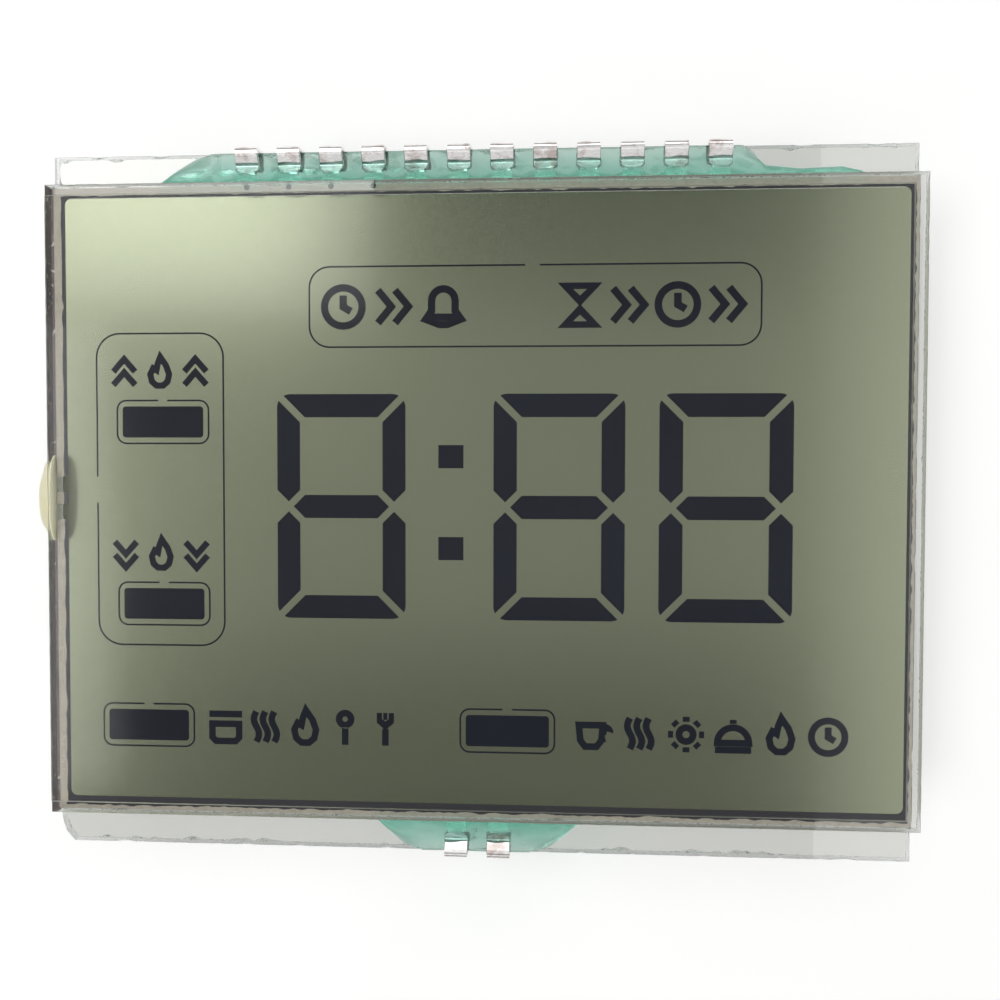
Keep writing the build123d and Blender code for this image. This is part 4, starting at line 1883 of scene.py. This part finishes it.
@dataclass
class Studio:
    """The floor, the lamps and the camera."""

    camera_place: tuple[float, float, float] = (6.401 * MM, 2.679 * MM, 69.733 * MM)
    camera_target: tuple[float, float, float] = (1.493 * MM, 0.256 * MM, 1.38 * MM)
    camera_roll: float = math.radians(0.106)
    lens: float = 41.4
    floor_size: float = 0.9
    floor_gap: float = 0.02 * MM
    floor_glow: float = 0.32
    sky_strength: float = 0.30
    lamps: tuple[Softbox, ...] = (
        Softbox("window_box", (-0.11, 0.10, 0.30), (0.10, 0.10), 4.8),
        Softbox("side_window_box", (-0.20, -0.03, 0.30), (0.10, 0.16), 5.6),
        Softbox("room_box", (-0.04, 0.0, 0.30), (0.24, 0.10), 0.5),
        Softbox("right_box", (0.12, 0.0, 0.30), (0.08, 0.30), 1.8),
        Softbox("upper_box", (0.02, 0.26, 0.26), (0.40, 0.12), 1.5),
        Softbox("lower_box", (0.0, -0.25, 0.27), (0.36, 0.12), 0.8),
    )

    def build(self) -> None:
        """Build the studio round the display."""
        self.build_floor()
        self.build_sky()
        for lamp in self.lamps:
            lamp.build()
        self.build_camera()

    def build_floor(self) -> None:
        """Build the floor, which looks white and still shows the display's shadow."""
        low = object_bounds()[0]
        half = self.floor_size / 2
        material, recipe = Recipe.material("pale_floor")
        grain = recipe.add("ShaderNodeTexNoise", {
            "Vector": recipe.place(), "Scale": 60.0, "Detail": 2.0})
        colour = recipe.mix(grain.outputs[0], (0.78, 0.78, 0.77), (0.84, 0.84, 0.83))
        base = recipe.add("ShaderNodeBsdfPrincipled", {
            "Base Color": colour, "Roughness": 0.9, "Specular IOR Level": 0.1})
        path = recipe.add("ShaderNodeLightPath")
        seen = recipe.math("MAXIMUM", path.outputs["Is Camera Ray"],
                           recipe.math("MAXIMUM", path.outputs["Is Glossy Ray"],
                                       path.outputs["Is Transmission Ray"]))
        glow = recipe.add("ShaderNodeEmission", {
            "Color": (1.0, 1.0, 1.0, 1.0),
            "Strength": recipe.math("MULTIPLY", seen, self.floor_glow)})
        both = recipe.add("ShaderNodeAddShader", {0: base.outputs[0], 1: glow.outputs[0]})
        recipe.finish(both.outputs[0])
        z = low[2] - self.floor_gap
        floor = Bench.piece(
            "studio_floor",
            [(-half, -half, z), (half, -half, z), (half, half, z), (-half, half, z)],
            [(0, 1, 2, 3)], [material])
        floor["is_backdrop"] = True

    def build_sky(self) -> None:
        """Set an even pale surround that the camera sees as white."""
        world = bpy.data.worlds.new("studio_surround")
        bpy.context.scene.world = world
        world.use_nodes = True
        world.node_tree.nodes.clear()
        recipe = Recipe(world.node_tree)
        seen = recipe.add("ShaderNodeLightPath").outputs["Is Camera Ray"]
        strength = recipe.math("MULTIPLY_ADD", seen, 1.0 - self.sky_strength, self.sky_strength)
        sky = recipe.add("ShaderNodeBackground", {
            "Color": (1.0, 1.0, 1.0, 1.0), "Strength": strength})
        recipe.add("ShaderNodeOutputWorld", {"Surface": sky.outputs[0]})

    def build_camera(self) -> None:
        """Set the camera at the photograph's view."""
        place = Vector(self.camera_place)
        back = (place - Vector(self.camera_target)).normalized()
        hint = Vector((-math.sin(self.camera_roll), math.cos(self.camera_roll), 0))
        right = hint.cross(back).normalized()
        up = back.cross(right)
        camera = bpy.data.cameras.new("front_view")
        camera.lens = self.lens
        camera.sensor_width = 36
        camera.clip_start = 0.001
        holder = bpy.data.objects.new("front_view", camera)
        turn = Matrix((right, up, back)).transposed().to_4x4()
        holder.matrix_world = Matrix.Translation(place) @ turn
        bpy.context.scene.collection.objects.link(holder)
        bpy.context.scene.camera = holder


def legend_places() -> list[Legend]:
    """Work out the rows of symbols from the frames and bars beside them.

    Returns:
        One legend for each place.
    """
    setting = Rect.of_node("setting_frame")
    level = Rect.of_node("level_frame")
    upper = Rect.of_node("upper_level_outline")
    lower = Rect.of_node("lower_level_outline")
    first = Rect.of_node("first_mode_outline")
    second = Rect.of_node("second_mode_outline")
    row = (setting.bottom + setting.top) / 2
    centre = (level.left + level.right) / 2
    mode_row = (first.bottom + first.top) / 2
    return [
        Legend("setting_symbols_left", middle=(setting.left + 5.1 * MM, row),
               height=2.7 * MM, stroke=0.44 * MM, pitch=3.0 * MM,
               symbols=(Symbol.CLOCK, Symbol.FORWARD, Symbol.BELL)),
        Legend("setting_symbols_right", middle=(setting.right - 6.3 * MM, row),
               height=2.7 * MM, stroke=0.44 * MM, pitch=2.85 * MM,
               symbols=(Symbol.HOURGLASS, Symbol.FORWARD, Symbol.CLOCK, Symbol.FORWARD)),
        Legend("upper_level_symbols", middle=(centre, upper.top + 1.65 * MM),
               height=2.0 * MM, stroke=0.38 * MM, pitch=2.2 * MM,
               symbols=(Symbol.UP, Symbol.FLAME, Symbol.UP)),
        Legend("lower_level_symbols", middle=(centre, lower.top + 1.65 * MM),
               height=2.0 * MM, stroke=0.38 * MM, pitch=2.2 * MM,
               symbols=(Symbol.DOWN, Symbol.FLAME, Symbol.DOWN)),
        Legend("first_mode_symbols", middle=(first.right + 6.8 * MM, mode_row),
               height=2.3 * MM, stroke=0.4 * MM, pitch=2.45 * MM,
               symbols=(Symbol.POT, Symbol.STEAM, Symbol.FLAME, Symbol.SPOON, Symbol.FORK)),
        Legend("second_mode_symbols", middle=(second.right + 9.1 * MM, mode_row),
               height=2.3 * MM, stroke=0.4 * MM, pitch=2.75 * MM,
               symbols=(Symbol.CUP, Symbol.STEAM, Symbol.SUN, Symbol.CLOCHE,
                        Symbol.FLAME, Symbol.CLOCK)),
    ]


def arch(start: float, end: float, low: float, high: float, steps: int = 8) -> list[Point]:
    """Return points of a quarter wave that rises steeply from start and flattens at end.

    Args:
        start: Where the wave starts.
        end: Where it ends.
        low: Its value at start.
        high: Its value at end.
        steps: Number of steps.

    Returns:
        Points with the place first and the value second.
    """
    return [
        (
            start + (end - start) * k / steps,
            low + (high - low) * math.sin(math.pi / 2 * k / steps),
        )
        for k in range(steps + 1)
    ]


def top_bead(bench: Bench) -> AdhesiveBead:
    """Return the long bead, full over the pins, with a curved left end and a thin right tail.

    Args:
        bench: The finishes.

    Returns:
        The bead, ready to be built.
    """
    low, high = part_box("top_adhesive")
    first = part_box("top_pin_01")[0][0]
    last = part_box("top_pin_12")[1][0]
    outline = [
        *arch(low[0], first - 1.2 * MM, 0.0, 1.0),
        *arch(last + 0.24 * (high[0] - last), last + 0.4 * MM, 0.42, 1.0)[::-1],
        (last + 0.5 * (high[0] - last), 0.30),
        (last + 0.8 * (high[0] - last), 0.34),
        (last + 0.94 * (high[0] - last), 0.2),
        (high[0], 0.0),
    ]
    return AdhesiveBead(bench, "top_adhesive", "top_pin", PinRows.top_count, outline)


def bottom_bead(bench: Bench) -> AdhesiveBead:
    """Return the short bead, a lens round the two lower pins.

    Args:
        bench: The finishes.

    Returns:
        The bead, ready to be built.
    """
    low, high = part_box("bottom_adhesive")
    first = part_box("bottom_pin_01")[0][0]
    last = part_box("bottom_pin_02")[1][0]
    outline = [
        *arch(low[0], first - 1.4 * MM, 0.0, 0.98),
        *arch(high[0], last + 1.2 * MM, 0.0, 0.98)[::-1],
    ]
    return AdhesiveBead(
        bench, "bottom_adhesive", "bottom_pin", PinRows.bottom_count, outline, seed=7.0)


FRAME: dict = {}


def main() -> None:
    """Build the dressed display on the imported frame."""
    logging.basicConfig(level=logging.INFO, format="%(name)s %(message)s")
    FRAME.update(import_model())
    bpy.context.scene.view_settings.view_transform = "Standard"
    Studio().build()
    bench = Bench()
    DisplayCell(bench).build()
    PinRows(bench).build()
    top_bead(bench).build()
    bottom_bead(bench).build()
    EndSeal(bench).build()
    Legends(bench, legend_places()).build()


if __name__ == "__main__":
    main()
